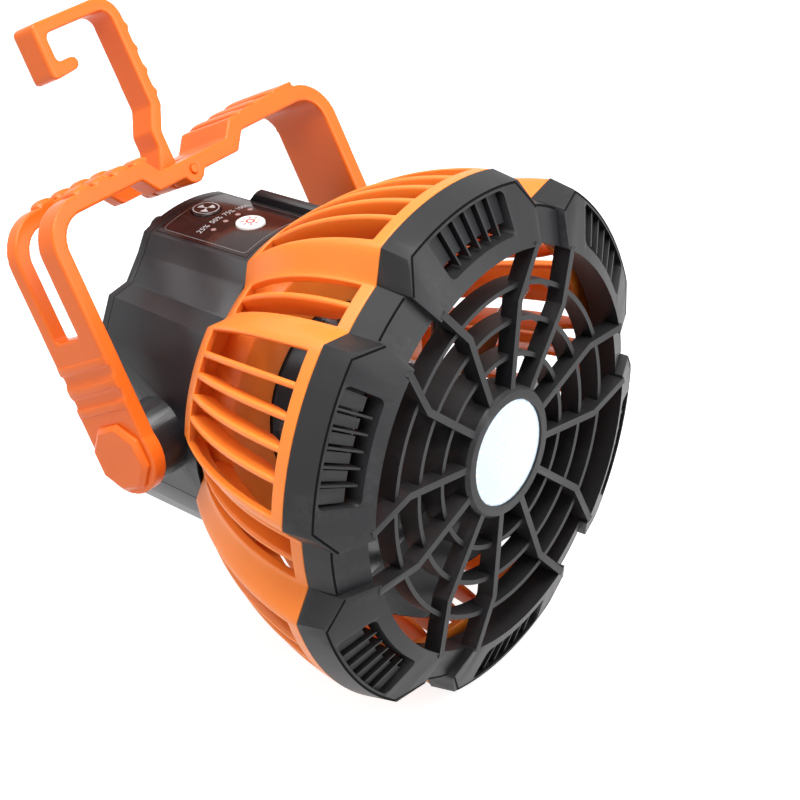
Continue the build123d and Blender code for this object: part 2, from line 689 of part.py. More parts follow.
def rubber_feet():
    y = HOUSING_Y[1] + COVER_THICK
    feet = []
    for x, z in FEET:
        for side in (-1, 1):
            foot = rod_y(FOOT_R, y, y + FOOT_HIGH, side * x, z)
            feet.append(chamfer(foot.edges().group_by(Axis.Y)[-1], 0.8))
    return Compound(children=feet)


# ---------------------------------------------------------------- control panel
def crown_drop(x):
    """How far the crown falls from its middle at X."""
    half, edge_z = SHOULDER[0]
    sag = CROWN_Z - edge_z
    radius = (half * half + sag * sag) / (2 * sag)
    return radius - sqrt(radius * radius - x * x)


def control_panel():
    panel = panel_pocket(PANEL_THICK)
    holes = [rod_z(BUTTON_HOLE_R, 40, 60, 0, y) for y in (FAN_BUTTON_Y, LIGHT_BUTTON_Y)]
    holes += [rod_z(DOT_R + 0.05, 40, 60, x, DOT_Y) for x in DOT_X]
    return panel - holes


def button(y):
    """Round push button: a domed cap in the panel's hole, on a stem over its switch."""
    top = CROWN_Z + BUTTON_RISE
    cap = rod_z(BUTTON_R, CROWN_Z - PANEL_THICK - 1.0, top, 0, y)
    cap = fillet(cap.edges().group_by(Axis.Z)[-1], 0.5)
    radius, length = BUTTON_STEM
    low = CROWN_Z - PANEL_THICK - 1.0
    return cap + rod_z(radius, low - length, low + 0.1, 0, y)


def battery_lights():
    lights = []
    for x in DOT_X:
        top = CROWN_Z - crown_drop(x)
        lights.append(rod_z(DOT_R, top - PANEL_THICK - 0.6, top, x, DOT_Y))
    return Compound(children=lights)


def board_top():
    """Height of the main board's top: the buttons' switches reach from it to the stems."""
    low = CROWN_Z - PANEL_THICK - 1.0 - BUTTON_STEM[1]
    return low - BUTTON_TRAVEL - FIT_GAP - 1.6


def main_board():
    w, length, t = BOARD
    y = BOARD_Y
    board = box_between((-w / 2, y - length / 2, board_top() - t), (w / 2, y + length / 2, board_top()))
    return board


def board_posts():
    """Four posts of the upper shell that hold the main board up against the crown."""
    w, length, _ = BOARD
    y = BOARD_Y
    posts = []
    for sx in (-1, 1):
        for sy in (-1, 1):
            px, py = sx * (w / 2 - 1.6), y + sy * (length / 2 - 1.6)
            top = CROWN_Z - crown_drop(abs(px)) - PANEL_POCKET - WALL + 1.0
            posts.append(rod_z(1.5, board_top(), top, px, py))
    return posts


def tact_switches():
    switches = []
    for y in (FAN_BUTTON_Y, LIGHT_BUTTON_Y):
        base = box_between((-3, y - 3, board_top()), (3, y + 3, board_top() + 1.0))
        switches.append(base + rod_z(1.6, board_top() + 0.9, board_top() + 1.6, 0, y))
    return Compound(children=switches)


def infrared_receiver():
    y = DOT_Y + 3.6
    body = box_between((9.2, y - 2.4, board_top()), (13.8, y + 2.4, board_top() + 3.6))
    return body + Pos(11.5, y, board_top() + 3.4) * Sphere(1.5)


# ---------------------------------------------------------------- motor and impeller
def motor():
    front, back = MOTOR_Y
    radius, length = MOTOR_BUSH
    can = rod_y(MOTOR_R, front, back)
    can = chamfer(can.edges(), 1.0)
    can += rod_y(radius, front - length, front + 0.1)
    return can - rod_y(SHAFT_R + SHAFT_CLEARANCE, front - length - 1, front + 14)


def motor_mount():
    """Plate that bolts the motor to the housing's front wall, with four open arms of air."""
    front, back = MOTOR_Y
    plate = rod_y(MOUNT_SCREW_R + 4.5, back, back + MOUNT_THICK) - rod_y(4.0, back - 1, back + 5)
    for k in range(4):
        plate -= around(rod_y(5.0, back - 1, back + 5, 0, 13.5), 45 + 90 * k)
        plate -= around(rod_y(SCREW_R, back - 1, back + 5, 0, MOUNT_SCREW_R), 90 * k)
    return plate


def motor_screws():
    front, back = MOTOR_Y
    screws = []
    for k in range(4):
        long_one = rod_y(SCREW_R, back - 0.2, HOUSING_Y[0] + WALL, 0, MOUNT_SCREW_R)
        head = rod_y(2.3, back - 1.7, back, 0, MOUNT_SCREW_R)
        screws.append(around(long_one + head, 90 * k))
    return Compound(children=screws)


def motor_shaft():
    return rod_y(SHAFT_R, IMPELLER_Y[0] + 4, MOTOR_Y[0] + 12)


def blade():
    """One blade on the +Z side: three sections of falling pitch, lofted outwards."""
    middle = (IMPELLER_Y[0] + IMPELLER_Y[1]) / 2
    faces = []
    for radius, chord, pitch in BLADE_SECTIONS:
        plane = Plane(origin=(0, middle, radius), x_dir=(1, 0, 0), z_dir=(0, 0, 1))
        faces.append(plane * Rot(0, 0, pitch) * RectangleRounded(chord, BLADE_THICK, BLADE_THICK * 0.45))
    return loft(faces)


def impeller():
    front, back = IMPELLER_Y
    hub = lathe((0, front), (IMPELLER_HUB_R - 3, front), (IMPELLER_HUB_R, front + 3), (IMPELLER_HUB_R, back),
                (IMPELLER_HUB_R - 2, back), (IMPELLER_HUB_R - 2, front + 4), (4.5, front + 4), (4.5, back - 3),
                (0, back - 3))
    space = rod_y(TIP_R, front, back) - rod_y(IMPELLER_HUB_R - 1, front - 1, back + 1)
    trimmed = blade() & space
    wheel = hub
    for k in range(BLADES):
        wheel += around(trimmed, 360 * k / BLADES)
    return wheel - rod_y(SHAFT_R, front + 4, back)


# ---------------------------------------------------------------- batteries and ports
def battery_cells():
    cells = []
    for y, z in CELL_YZ:
        can = rod_x(CELL_R, -CELL_LENGTH / 2, CELL_LENGTH / 2 - 1, y, z)
        cells.append(can + rod_x(2.9, CELL_LENGTH / 2 - 1.1, CELL_LENGTH / 2, y, z))
    return Compound(children=cells)


def battery_cradle():
    """Tray on the lower shell's floor that the four cells lie in, open to the front wall."""
    ys = [y for y, _ in CELL_YZ]
    zs = [z for _, z in CELL_YZ]
    front, back = min(ys) - CELL_R, max(ys) + CELL_R
    low = min(zs) - CELL_R
    half = CELL_LENGTH / 2 + SEAM
    w = CRADLE_WALL
    tray = box_between((-half - w, front, low - w), (half + w, back + w, low + 8))
    tray -= box_between((-half, front - 1, low), (half, back, low + 9))
    ends = box_between((-half - w, front, low), (-half, back, max(zs) + 3))
    rails = [box_between((x - 1.5, front, -60), (x + 1.5, back, low)) for x in (-22, 0, 22)]
    y0, y1 = HOUSING_Y
    return (tray + ends + mirrored(ends) + rails) & housing_prism(y0 + WALL, y1, -WALL - SEAM)


def port(at, size, tongue):
    """Metal shell of a socket, open to the back, with its tongue."""
    x, z = at
    w, h = size
    back = HOUSING_Y[1] + COVER_THICK - 0.4
    front = back - PORT_DEPTH
    shell = box_between((x - w / 2, front, z - h / 2), (x + w / 2, back, z + h / 2))
    shell -= box_between((x - w / 2 + PORT_WALL, front + 1, z - h / 2 + PORT_WALL),
                         (x + w / 2 - PORT_WALL, back + 1, z + h / 2 - PORT_WALL))
    tw, th, lift = tongue
    return shell + box_between((x - tw / 2, front + 0.5, z + lift - th / 2), (x + tw / 2, back - 1.2, z + lift + th / 2))


def charge_board():
    """Board behind the back cover that both sockets stand on."""
    front = HOUSING_Y[1] + COVER_THICK - 0.4 - PORT_DEPTH
    z = min(USB_C_AT[1] - USB_C_SIZE[1] / 2, USB_A_AT[1] - USB_A_SIZE[1] / 2)
    return box_between((-22, front - 1.2, z - 6), (20, front, z + 12))


# ---------------------------------------------------------------- bail
def lean(shape):
    """From upright about the X axis at the origin to its place on the fan."""
    return Pos(0, PIVOT[0], PIVOT[1]) * Rot(-LEAN, 0, 0) * shape


def bail_outline(inset):
    """Line of the bail, from the right arm's foot over the bar to the left one's."""
    x = BAIL_X - inset
    top = BAIL_TOP - inset
    low = top - DIP
    shift = inset * 0.45
    a = DIP_TOP - shift
    b = a - DIP_RUN
    corner = BAIL_CORNER - inset
    return x, top, low, a, b, corner


def bail_strip():
    """The bail's U as a strip of even thickness, with the dip in the middle of its bar."""
    def side(inset, sign):
        x, top, low, a, b, corner = bail_outline(inset)
        return [(sign * x, 0), (sign * x, top), (sign * a, top), (sign * b, low)]
    outer = side(0, 1) + side(0, -1)[::-1]
    inner_x, inner_top, inner_low, _, _, _ = bail_outline(STRIP)
    widen = STRIP * 0.62
    a, b = DIP_TOP + widen, DIP_TOP - DIP_RUN + widen
    inner = [(-inner_x, 0), (-inner_x, inner_top), (-a, inner_top), (-b, inner_low),
             (b, inner_low), (a, inner_top), (inner_x, inner_top), (inner_x, 0)]
    face = make_face(Polyline(*[(x, -STRIP_W / 2, z) for x, z in outer + inner], close=True))
    strip = extrude(face, STRIP_W, dir=(0, 1, 0))
    corners = strip.edges().filter_by(Axis.Y)
    outside = [e for e in corners if abs(abs(e.center().X) - BAIL_X) < 0.1 and e.center().Z > BAIL_TOP - 0.1]
    inside = [e for e in corners if abs(abs(e.center().X) - inner_x) < 0.1 and abs(e.center().Z - inner_top) < 0.1]
    strip = fillet(outside, BAIL_CORNER)
    inside = [e for e in strip.edges().filter_by(Axis.Y)
              if abs(abs(e.center().X) - inner_x) < 0.1 and abs(e.center().Z - inner_top) < 0.1]
    return fillet(inside, BAIL_CORNER - STRIP)


def bail_slot():
    """Slot for the hook: down the left arm, round its corner and along the bar past the pin."""
    y0, y1 = SLOT_SHIFT - SLOT_W / 2, SLOT_SHIFT + SLOT_W / 2
    reach = PIN[0] + LUG_R + 1.2
    down = box_between((-BAIL_X - 1, y0, ARM_SLOT_END), (-BAIL_X + BAIL_CORNER + 6, y1, BAIL_TOP + 1))
    along = box_between((-BAIL_X, y0, BAIL_TOP - DIP - STRIP - 8), (reach, y1, BAIL_TOP + 1))
    return down + along


def arm_feet():
    """Round feet of the two arms, about the pivot."""
    foot = rod_x(ARM_END_R, BAIL_X - STRIP, BAIL_X)
    return [foot, mirrored(foot)]


def arm_bores():
    """Bore for the spigot and the seat of the washer and cap, in both arms."""
    near, far = BAIL_X - STRIP, BAIL_X
    bore = rod_x(SPIGOT_R + RUN_CLEARANCE, near - 1, far + 1) + rod_x(WASHER_R + 1.2, far - CAP_SEAT, far + 1)
    return [bore, mirrored(bore)]


def grips():
    """Shallow steps across the outside of each arm."""
    cuts = []
    for high, low in zip(GRIP_Z[0::2], GRIP_Z[1::2]):
        cut = box_between((BAIL_X - GRIP_DEPTH, -STRIP_W, low), (BAIL_X + 1, STRIP_W, high))
        cuts += [cut, mirrored(cut)]
    return cuts


def bar_steps():
    """Rising steps on the right half of the bar, and the ribs across the left half's rails."""
    steps = []
    heights = [0.6 * (k + 1) for k in range(len(BAR_STEPS))]
    for x, rise in zip(BAR_STEPS, heights):
        steps.append(box_between((x, -STRIP_W / 2, BAIL_TOP - 1), (BAIL_X - BAIL_CORNER + 1, STRIP_W / 2, BAIL_TOP + rise)))
    for x in RIB_X:
        steps.append(box_between((x - 2.6, -STRIP_W / 2, BAIL_TOP - 1), (x + 2.6, STRIP_W / 2, BAIL_TOP + 1.0)))
    return steps


def lugs():
    """Two rounded lugs under the dip, one on each rail, for the hook's pin."""
    x, z = PIN
    round_end = rod_y(LUG_R, -STRIP_W / 2, STRIP_W / 2, x, z)
    return round_end & box_between((x - LUG_R, -STRIP_W, 0), (x + LUG_R, STRIP_W, BAIL_TOP - DIP))


def handle():
    bail = bail_strip()
    bail += arm_feet()
    bail += bar_steps()
    bail += lugs()
    bail -= bail_slot()
    bail -= grips()
    bail -= arm_bores()
    bail -= rod_y(PIN_R, -STRIP_W, STRIP_W, *PIN)
    return lean(bail)


def pivot_cap(sign):
    """Octagonal cap over the end of the bail's pivot."""
    across = CAP_FLATS / 2
    plane = Plane(origin=(BAIL_X, 0, 0), x_dir=(0, 1, 0), z_dir=(1, 0, 0))
    octagon = RegularPolygon(across, 8, major_radius=False)
    cap = extrude(plane * Rot(0, 0, 22.5) * octagon, CAP_PROUD, dir=(1, 0, 0))
    cap = chamfer(cap.faces().sort_by(Axis.X)[-1].edges(), 1.4)
    skirt = rod_x(WASHER_R + 1.2, BAIL_X - CAP_SEAT, BAIL_X + 0.1)
    cap += skirt - rod_x(WASHER_R + 0.1, BAIL_X - CAP_SEAT - 1, BAIL_X)
    return lean(cap if sign > 0 else mirrored(cap))


def friction_washer(sign):
    seat = BAIL_X - CAP_SEAT
    ring = rod_x(WASHER_R, seat, seat + WASHER_THICK) - rod_x(SPIGOT_R + RUN_CLEARANCE, seat - 1, seat + 2)
    return lean(ring if sign > 0 else mirrored(ring))


def pivot_screw(sign):
    """Screw in the spigot's end; its head keeps the bail on."""
    y, z = PIVOT
    end = spigot_end()
    screw = rod_x(SCREW_R, end - 9, end + 0.1, y, z) + rod_x(6.2, end, end + 1.1, y, z)
    return screw if sign > 0 else mirrored(screw)


# ---------------------------------------------------------------- hook
def hook():
    """Strip bent into a hook: barrel, shaft with its jog, top, tip and lip."""
    x, z = PIN
    half = HOOK_T / 2
    (low_x, low_z), (high_x, high_z) = JOG
    top = HOOK_TOP - half
    tip_x = HOOK_REACH + half
    path = [(low_x, z), (low_x, low_z), (high_x, high_z), (high_x, top), (tip_x, top),
            (tip_x, HOOK_TIP + half), (tip_x + HOOK_LIP, HOOK_TIP + half + 0.8)]
    bent = make_strip(path, half)
    y0 = SLOT_SHIFT - HOOK_W / 2
    face = make_face(Polyline(*[(px, y0, pz) for px, pz in bent], close=True))
    body = extrude(face, HOOK_W, dir=(0, 1, 0))
    across = body.edges().filter_by(Axis.Y)
    round_it = [e for e in across if abs(e.center().X - (high_x + half)) < 0.1 and e.center().Z > top]
    body = fillet(round_it, HOOK_CORNER)
    across = body.edges().filter_by(Axis.Y)
    round_it = [e for e in across if abs(e.center().X - (high_x - half)) < 0.1 and abs(e.center().Z - top + half) < 0.1]
    body = fillet(round_it, HOOK_CORNER - HOOK_T)
    body += rod_y(LUG_R, y0, y0 + HOOK_W, x, z)
    heel = [(low_x - half - 4.6, z + 1.2), (low_x, z + 1.2), (low_x, z + 10.5), (low_x - half, z + 10.5)]
    body += extrude(make_face(Polyline(*[(px, y0, pz) for px, pz in heel], close=True)), HOOK_W, dir=(0, 1, 0))
    bumps = []
    for k in range(4):
        bumps.append(rod_y(1.9, y0, y0 + HOOK_W, high_x + half - 1.1, high_z + 4 + 7.6 * k))
    body += bumps
    body -= rod_y(PIN_R + SHAFT_CLEARANCE, y0 - 1, y0 + HOOK_W + 1, x, z)
    return lean(body)


def make_strip(path, half):
    """Outline of a strip of even thickness along a bent line, in one plane."""
    def shifted(sign):
        result = []
        for k, point in enumerate(path):
            before = path[max(k - 1, 0)]
            after = path[min(k + 1, len(path) - 1)]
            first = unit(before, point) if k else unit(point, after)
            second = unit(point, after) if k < len(path) - 1 else first
            nx, nz = -(first[1] + second[1]), first[0] + second[0]
            size = sqrt(nx * nx + nz * nz)
            nx, nz = nx / size, nz / size
            spread = half / (nx * -first[1] + nz * first[0])
            result.append((point[0] + sign * nx * spread, point[1] + sign * nz * spread))
        return result
    return shifted(1) + shifted(-1)[::-1]


def unit(a, b):
    length = sqrt((b[0] - a[0]) ** 2 + (b[1] - a[1]) ** 2)
    return (b[0] - a[0]) / length, (b[1] - a[1]) / length


def hook_pin():
    x, z = PIN
    return lean(rod_y(PIN_R, -STRIP_W / 2 - 0.6, STRIP_W / 2 + 0.6, x, z))


# ---------------------------------------------------------------- assembly
def all_parts():
    return {
        "front_grille": front_grille(),
        "lamp_lens": lamp_lens(),
        "lamp_frame": lamp_cup(),
        "led_board": led_board(),
        "leds": leds(),
        "body_shell": body_shell(),
        "grille_screws": grille_screws(),
        "impeller": impeller(),
        "motor_shaft": motor_shaft(),
        "motor": motor(),
        "motor_mount": motor_mount(),
        "motor_screws": motor_screws(),
        "upper_housing": upper_housing(),
        "lower_housing": lower_housing(),
        "rear_cover": rear_cover(),
        "cover_screws": cover_screws(),
        "rubber_feet": rubber_feet(),
        "control_panel": control_panel(),
        "fan_button": button(FAN_BUTTON_Y),
        "light_button": button(LIGHT_BUTTON_Y),
        "battery_lights": battery_lights(),
        "main_board": main_board(),
        "tact_switches": tact_switches(),
        "infrared_receiver": infrared_receiver(),
        "battery_cells": battery_cells(),
        "battery_cradle": battery_cradle(),
        "charge_board": charge_board(),
        "usb_c_socket": port(USB_C_AT, USB_C_SIZE, (6.6, 0.7, 0.0)),
        "usb_a_socket": port(USB_A_AT, USB_A_SIZE, (11.0, 1.8, 1.1)),
        "handle": handle(),
        "pivot_cap_left": pivot_cap(-1),
        "pivot_cap_right": pivot_cap(1),
        "friction_washer_left": friction_washer(-1),
        "friction_washer_right": friction_washer(1),
        "pivot_screw_left": pivot_screw(-1),
        "pivot_screw_right": pivot_screw(1),
        "hook": hook(),
        "hook_pin": hook_pin(),
    }


def hook_seat():
    """Where a line or rail bears: under the hook's top, in the middle of its width."""
    return lean(Pos(SEAT_X, SLOT_SHIFT, HOOK_TOP - HOOK_T)).position


def main():
    os.makedirs("parts", exist_ok=True)
    seat = hook_seat()
    print("hook seat", seat)
    to_seat = Pos(-seat.X, -seat.Y, -seat.Z)
    for name, shape in all_parts().items():
        export_step(to_seat * shape, f"parts/{name}.step")


main()
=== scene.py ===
# %% [markdown]
# # A camping fan with a lamp, a bail and a hook
# The fan is an assembly of moulded shells: a black grille in front, an orange louvred body behind it,
# a dark motor housing at the back, an orange bail that swings about the housing, and a hook that
# folds into the bail. The solids come in as a fixed frame of parts, all in one place and at real
# size. This script gives each visible part its moulded surface, its edges and its finish.

# %% Load the frame of parts
import bpy
import bmesh
import json
import numpy as np
from math import radians, sin, cos, pi
from mathutils import Matrix, Vector

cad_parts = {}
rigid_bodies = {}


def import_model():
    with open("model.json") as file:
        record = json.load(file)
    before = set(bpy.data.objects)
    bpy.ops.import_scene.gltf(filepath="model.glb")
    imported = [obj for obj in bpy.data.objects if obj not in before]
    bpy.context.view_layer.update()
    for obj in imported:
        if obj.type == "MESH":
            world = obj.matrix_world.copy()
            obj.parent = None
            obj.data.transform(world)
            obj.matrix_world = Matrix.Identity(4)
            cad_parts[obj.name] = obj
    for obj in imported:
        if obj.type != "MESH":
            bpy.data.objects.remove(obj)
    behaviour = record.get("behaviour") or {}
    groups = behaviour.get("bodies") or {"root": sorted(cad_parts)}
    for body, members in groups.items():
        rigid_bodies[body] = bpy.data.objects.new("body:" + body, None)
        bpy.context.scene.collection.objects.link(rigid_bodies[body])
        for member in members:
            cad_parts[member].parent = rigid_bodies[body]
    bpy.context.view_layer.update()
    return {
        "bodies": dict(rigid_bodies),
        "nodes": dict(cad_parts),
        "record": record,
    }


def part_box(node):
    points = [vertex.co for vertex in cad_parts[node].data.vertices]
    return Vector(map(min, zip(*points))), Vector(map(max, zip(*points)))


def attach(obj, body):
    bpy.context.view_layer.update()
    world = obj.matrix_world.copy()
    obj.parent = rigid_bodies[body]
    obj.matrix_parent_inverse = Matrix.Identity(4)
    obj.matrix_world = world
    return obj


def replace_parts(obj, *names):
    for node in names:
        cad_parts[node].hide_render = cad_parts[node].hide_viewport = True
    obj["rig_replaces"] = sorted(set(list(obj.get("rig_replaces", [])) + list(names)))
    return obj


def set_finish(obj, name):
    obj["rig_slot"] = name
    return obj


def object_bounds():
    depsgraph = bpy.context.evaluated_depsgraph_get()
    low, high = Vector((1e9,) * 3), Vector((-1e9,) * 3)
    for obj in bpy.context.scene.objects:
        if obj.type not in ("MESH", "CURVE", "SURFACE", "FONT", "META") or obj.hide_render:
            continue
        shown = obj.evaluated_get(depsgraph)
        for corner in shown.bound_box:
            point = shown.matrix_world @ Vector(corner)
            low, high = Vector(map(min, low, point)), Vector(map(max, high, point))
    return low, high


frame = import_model()
slot_of = {row["node"]: row["material_slot"] for row in frame["record"]["subparts"]}
print("parts in the frame:", len(frame["nodes"]))

# %% [markdown]
# ## One set of measures
# The fan is easiest to describe about its own air axis: Y runs from the grille back through the
# motor, Z is up through the control panel, X lies along the bail's pivot, and lengths are in
# millimetres. The parts' shared origin is the seat of the hook, so every point is moved there and
# turned into metres in one place only, and no object needs a transform of its own.

# %% Fan measures to scene metres
SEAT = np.array([-15.0, 158.66118, 115.82612])


def to_scene(points):
    """Scene metres from fan millimetres: take away the hook's seat, divide by a thousand."""
    return (np.asarray(points, float) - SEAT) / 1000.0


def polar(radius, degrees_round, depth):
    """Points about the air axis: X = r sin a, Y = depth, Z = r cos a, with a counted from +Z to +X."""
    a = np.radians(degrees_round)
    radius, a, depth = np.broadcast_arrays(radius, a, depth)
    return np.stack([radius * np.sin(a), depth, radius * np.cos(a)], -1)


# %% [markdown]
# ## The camera
# A long lens keeps the round head round. The camera stands to the left, in front and above, and is
# turned a little about its own line of sight. Its place is worked out from those angles.

# %% Camera
TURN, RISE, ROLL = radians(-50.63), radians(29.31), radians(-3.43)
DISTANCE, SHIFT_X, SHIFT_Y = 705.38, 33.38, -16.35
SENSOR_MM, FOCUS_PIXELS, PICTURE_PIXELS = 36.0, 2267.06, 800.0
back = np.array([sin(TURN) * cos(RISE), -cos(TURN) * cos(RISE), sin(RISE)])
right = np.array([cos(TURN), sin(TURN), 0.0])
up = np.cross(back, right)
right, up = right * cos(ROLL) + up * sin(ROLL), -right * sin(ROLL) + up * cos(ROLL)
eye = -SHIFT_X * right - SHIFT_Y * up + DISTANCE * back

camera_data = bpy.data.cameras.new("camera")
camera_data.sensor_width = SENSOR_MM
camera_data.lens = FOCUS_PIXELS * SENSOR_MM / PICTURE_PIXELS
camera_data.clip_end = 20.0
camera = bpy.data.objects.new("camera", camera_data)
bpy.context.collection.objects.link(camera)
pose = Matrix.Identity(4)
for column, axis in enumerate((right, up, back, to_scene(eye))):
    for line in range(3):
        pose[line][column] = axis[line]
camera.matrix_world = pose
bpy.context.scene.camera = camera
print("camera lens", round(camera_data.lens, 1), "mm")

# %% [markdown]
# ## From arrays to meshes
# Every new piece is a grid of points: two numbers run over it, and each point is worked out from
# them. A moulded shell is two such grids, one for its outside and one for its inside, with a mask
# that says which cells are there. Where the mask ends, a wall joins the two grids, so a window is
# only a run of missing cells. A rib or a strip is a closed outline carried along a path.

# %% Grids
def join(*shapes):
    """One (points, faces) pair from several: each shape's faces are moved past the points before it."""
    points, faces, start = [], [], 0
    for p, f in shapes:
        points.append(p)
        faces.append(f + start)
        start += len(p)
    return np.concatenate(points), np.concatenate(faces)


def grid_quads(rows, columns, first=0, around=False):
    """Corner numbers of a grid's cells, shape (cells along, cells across, 4)."""
    index = first + np.arange(rows * columns).reshape(rows, columns)
    if around:
        index = np.concatenate([index, index[:, :1]], 1)
    return np.stack([index[:-1, :-1], index[:-1, 1:], index[1:, 1:], index[1:, :-1]], -1)


# %% Shells and sweeps
def shell(outside, inside, keep):
    """Closed ring-shaped shell between two grids of points (rows, columns, 3), where the mask keeps a cell.

    Outer cells face one way and inner ones the other; a wall stands wherever a kept cell has no
    kept neighbour, from the outer grid's edge to the inner one's.
    """
    rows, columns = outside.shape[:2]
    outer = grid_quads(rows, columns, 0, True)
    inner = grid_quads(rows, columns, rows * columns, True)
    faces = [outer[keep], inner[keep][:, ::-1]]
    before = np.pad(keep, ((1, 0), (0, 0)))[:-1]
    after = np.pad(keep, ((0, 1), (0, 0)))[1:]
    neighbours = ((np.roll(keep, 1, 1), (0, 3)), (np.roll(keep, -1, 1), (2, 1)), (before, (1, 0)), (after, (3, 2)))
    for neighbour, (a, b) in neighbours:
        near, far = outer[keep & ~neighbour], inner[keep & ~neighbour]
        faces.append(np.stack([far[:, a], far[:, b], near[:, b], near[:, a]], -1))
    points = np.concatenate([outside.reshape(-1, 3), inside.reshape(-1, 3)])
    return points, np.concatenate(faces)


def sweep(rings):
    """Solid from closed outlines (rings, points, 3) in order along a path; each end is closed by a fan."""
    count, size = rings.shape[:2]
    sides = grid_quads(count, size, 0, True).reshape(-1, 4)
    ends = rings[[0, -1]].mean(1)
    index = np.arange(size)
    following = np.roll(index, -1)
    first, last = count * size, count * size + 1
    head = np.stack([following, index, np.full(size, first), np.full(size, first)], -1)
    base = (count - 1) * size
    tail = np.stack([base + index, base + following, np.full(size, last), np.full(size, last)], -1)
    return np.concatenate([rings.reshape(-1, 3), ends]), np.concatenate([sides, head, tail])


def rounded(width, depth, corner, steps=3):
    """Outline of a box with round corners, centred on nought: quarter circles at the four corners."""
    turn = np.linspace(0, pi / 2, steps + 1)
    arc = np.stack([np.cos(turn), np.sin(turn)], -1) * corner
    place = np.array([width / 2 - corner, depth / 2 - corner])
    quarters = []
    for k, (sx, sy) in enumerate(((1, 1), (-1, 1), (-1, -1), (1, -1))):
        part = arc if k % 2 == 0 else arc[::-1]
        quarters.append((part + place) * (sx, sy))
    return np.concatenate(quarters)


# %% From a shape to a piece
pieces_made = []
BEVEL_TURN, SMOOTH_WHEN_BEVELLED = 50, 60


def piece(name, shape, body, nodes=(), slot=None, bevel=0.0, smooth=35, merge=0.02):
    """Mesh object from fan-millimetre points and four-cornered faces, riding on a body."""
    points, faces = shape
    mesh = bpy.data.meshes.new(name)
    mesh.from_pydata(to_scene(points).tolist(), [], [tuple(dict.fromkeys(f)) for f in faces.tolist()])
    made = bmesh.new()
    made.from_mesh(mesh)
    bmesh.ops.remove_doubles(made, verts=made.verts, dist=merge / 1000)
    bmesh.ops.dissolve_degenerate(made, edges=made.edges, dist=merge / 2000)
    bmesh.ops.recalc_face_normals(made, faces=made.faces)
    made.to_mesh(mesh)
    made.free()
    mesh.update()
    thing = bpy.data.objects.new(name, mesh)
    bpy.context.collection.objects.link(thing)
    if bevel:
        softener = thing.modifiers.new("edges", "BEVEL")
        softener.width, softener.segments = bevel / 1000, 2
        softener.limit_method, softener.angle_limit = "ANGLE", radians(BEVEL_TURN)
        softener.use_clamp_overlap = False
        softener.harden_normals = False
    mesh.polygons.foreach_set("use_smooth", np.ones(len(mesh.polygons), bool))
    mesh.set_sharp_from_angle(angle=radians(SMOOTH_WHEN_BEVELLED if bevel else smooth))
    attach(thing, body)
    if nodes:
        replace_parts(thing, *nodes)
    if slot:
        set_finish(thing, slot)
    pieces_made.append(thing)
    print("made", name, len(mesh.vertices), "points", len(mesh.polygons), "faces")
    return thing


def own_finish(thing, finish):
    """Gives a piece a finish other than its slot's."""
    thing["own_finish"] = True
    thing.data.materials.append(finish)


# %% [markdown]
# ## Soft edges for the solids that are already right
# Mould makers round every edge a little, and the light that runs along those roundings is what
# makes a plastic shell look real. A solid from the frame arrives as loose triangles, so a copy is
# merged and its flat areas are joined into whole faces, and a Bevel modifier then rounds the edges
# that are sharper than a set angle. The copy stands for the node, which stays behind it unseen.

# %% Merged copies of the solids
EDGE_TURN, FLAT_TURN, SMOOTH_PAST_EDGE = 34, 1.2, 8
SAME_POINT = 2e-5


def merged(node_name, reshape=None):
    """Copy of a node's mesh with merged points and whole flat faces, which stands for the node."""
    source = frame["nodes"][node_name]
    mesh = source.data.copy()
    if reshape:
        spots = np.zeros(len(mesh.vertices) * 3)
        mesh.vertices.foreach_get("co", spots)
        spots = reshape(spots.reshape(-1, 3) * 1000.0 + SEAT)
        mesh.vertices.foreach_set("co", to_scene(spots).ravel())
    made = bmesh.new()
    made.from_mesh(mesh)
    bmesh.ops.remove_doubles(made, verts=made.verts, dist=SAME_POINT)
    bmesh.ops.dissolve_limit(made, angle_limit=radians(FLAT_TURN), use_dissolve_boundaries=False,
                             verts=made.verts, edges=made.edges, delimit={"NORMAL"})
    made.to_mesh(mesh)
    made.free()
    mesh.polygons.foreach_set("use_smooth", np.ones(len(mesh.polygons), bool))
    mesh.set_sharp_from_angle(angle=radians(EDGE_TURN + SMOOTH_PAST_EDGE))
    thing = bpy.data.objects.new(node_name + ".soft", mesh)
    bpy.context.collection.objects.link(thing)
    body = next(b for b, row in frame["bodies"].items() if source.parent is row)
    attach(thing, body)
    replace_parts(thing, node_name)
    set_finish(thing, slot_of[node_name])
    pieces_made.append(thing)
    print("copied", node_name, "with", len(mesh.polygons), "faces")
    return thing


# %% Rounded copies
def softened(node_name, width, reshape=None):
    """Merged copy whose sharp edges a Bevel modifier rounds by a width."""
    softener = merged(node_name, reshape).modifiers.new("edges", "BEVEL")
    softener.width, softener.segments = width / 1000, 2
    softener.limit_method, softener.angle_limit = "ANGLE", radians(EDGE_TURN)
    softener.harden_normals = True
    softener.use_clamp_overlap = True


# %% [markdown]
# ## Effects that the finishes share
# Moulded plastic is never quite even: its skin has a fine spark grain, its colour drifts a little
# with the flow of the melt, its edges are paler, partly polished by handling and partly a painted highlight, and dust
# settles on what faces up.
# Each of these is a node group with its own inputs, so that every finish can use the same effect at
# its own strength.

# %% Helpers for node trees
def group(name, inputs, outputs):
    """Empty shader group with float, colour or vector sockets: {name: (kind, default)}."""
    tree = bpy.data.node_groups.new(name, "ShaderNodeTree")
    for label, (kind, value) in inputs.items():
        socket = tree.interface.new_socket(name=label, in_out="INPUT", socket_type="NodeSocket" + kind)
        if value is not None:
            socket.default_value = value
    for label, kind in outputs.items():
        tree.interface.new_socket(name=label, in_out="OUTPUT", socket_type="NodeSocket" + kind)
    return tree, tree.nodes.new("NodeGroupInput"), tree.nodes.new("NodeGroupOutput")


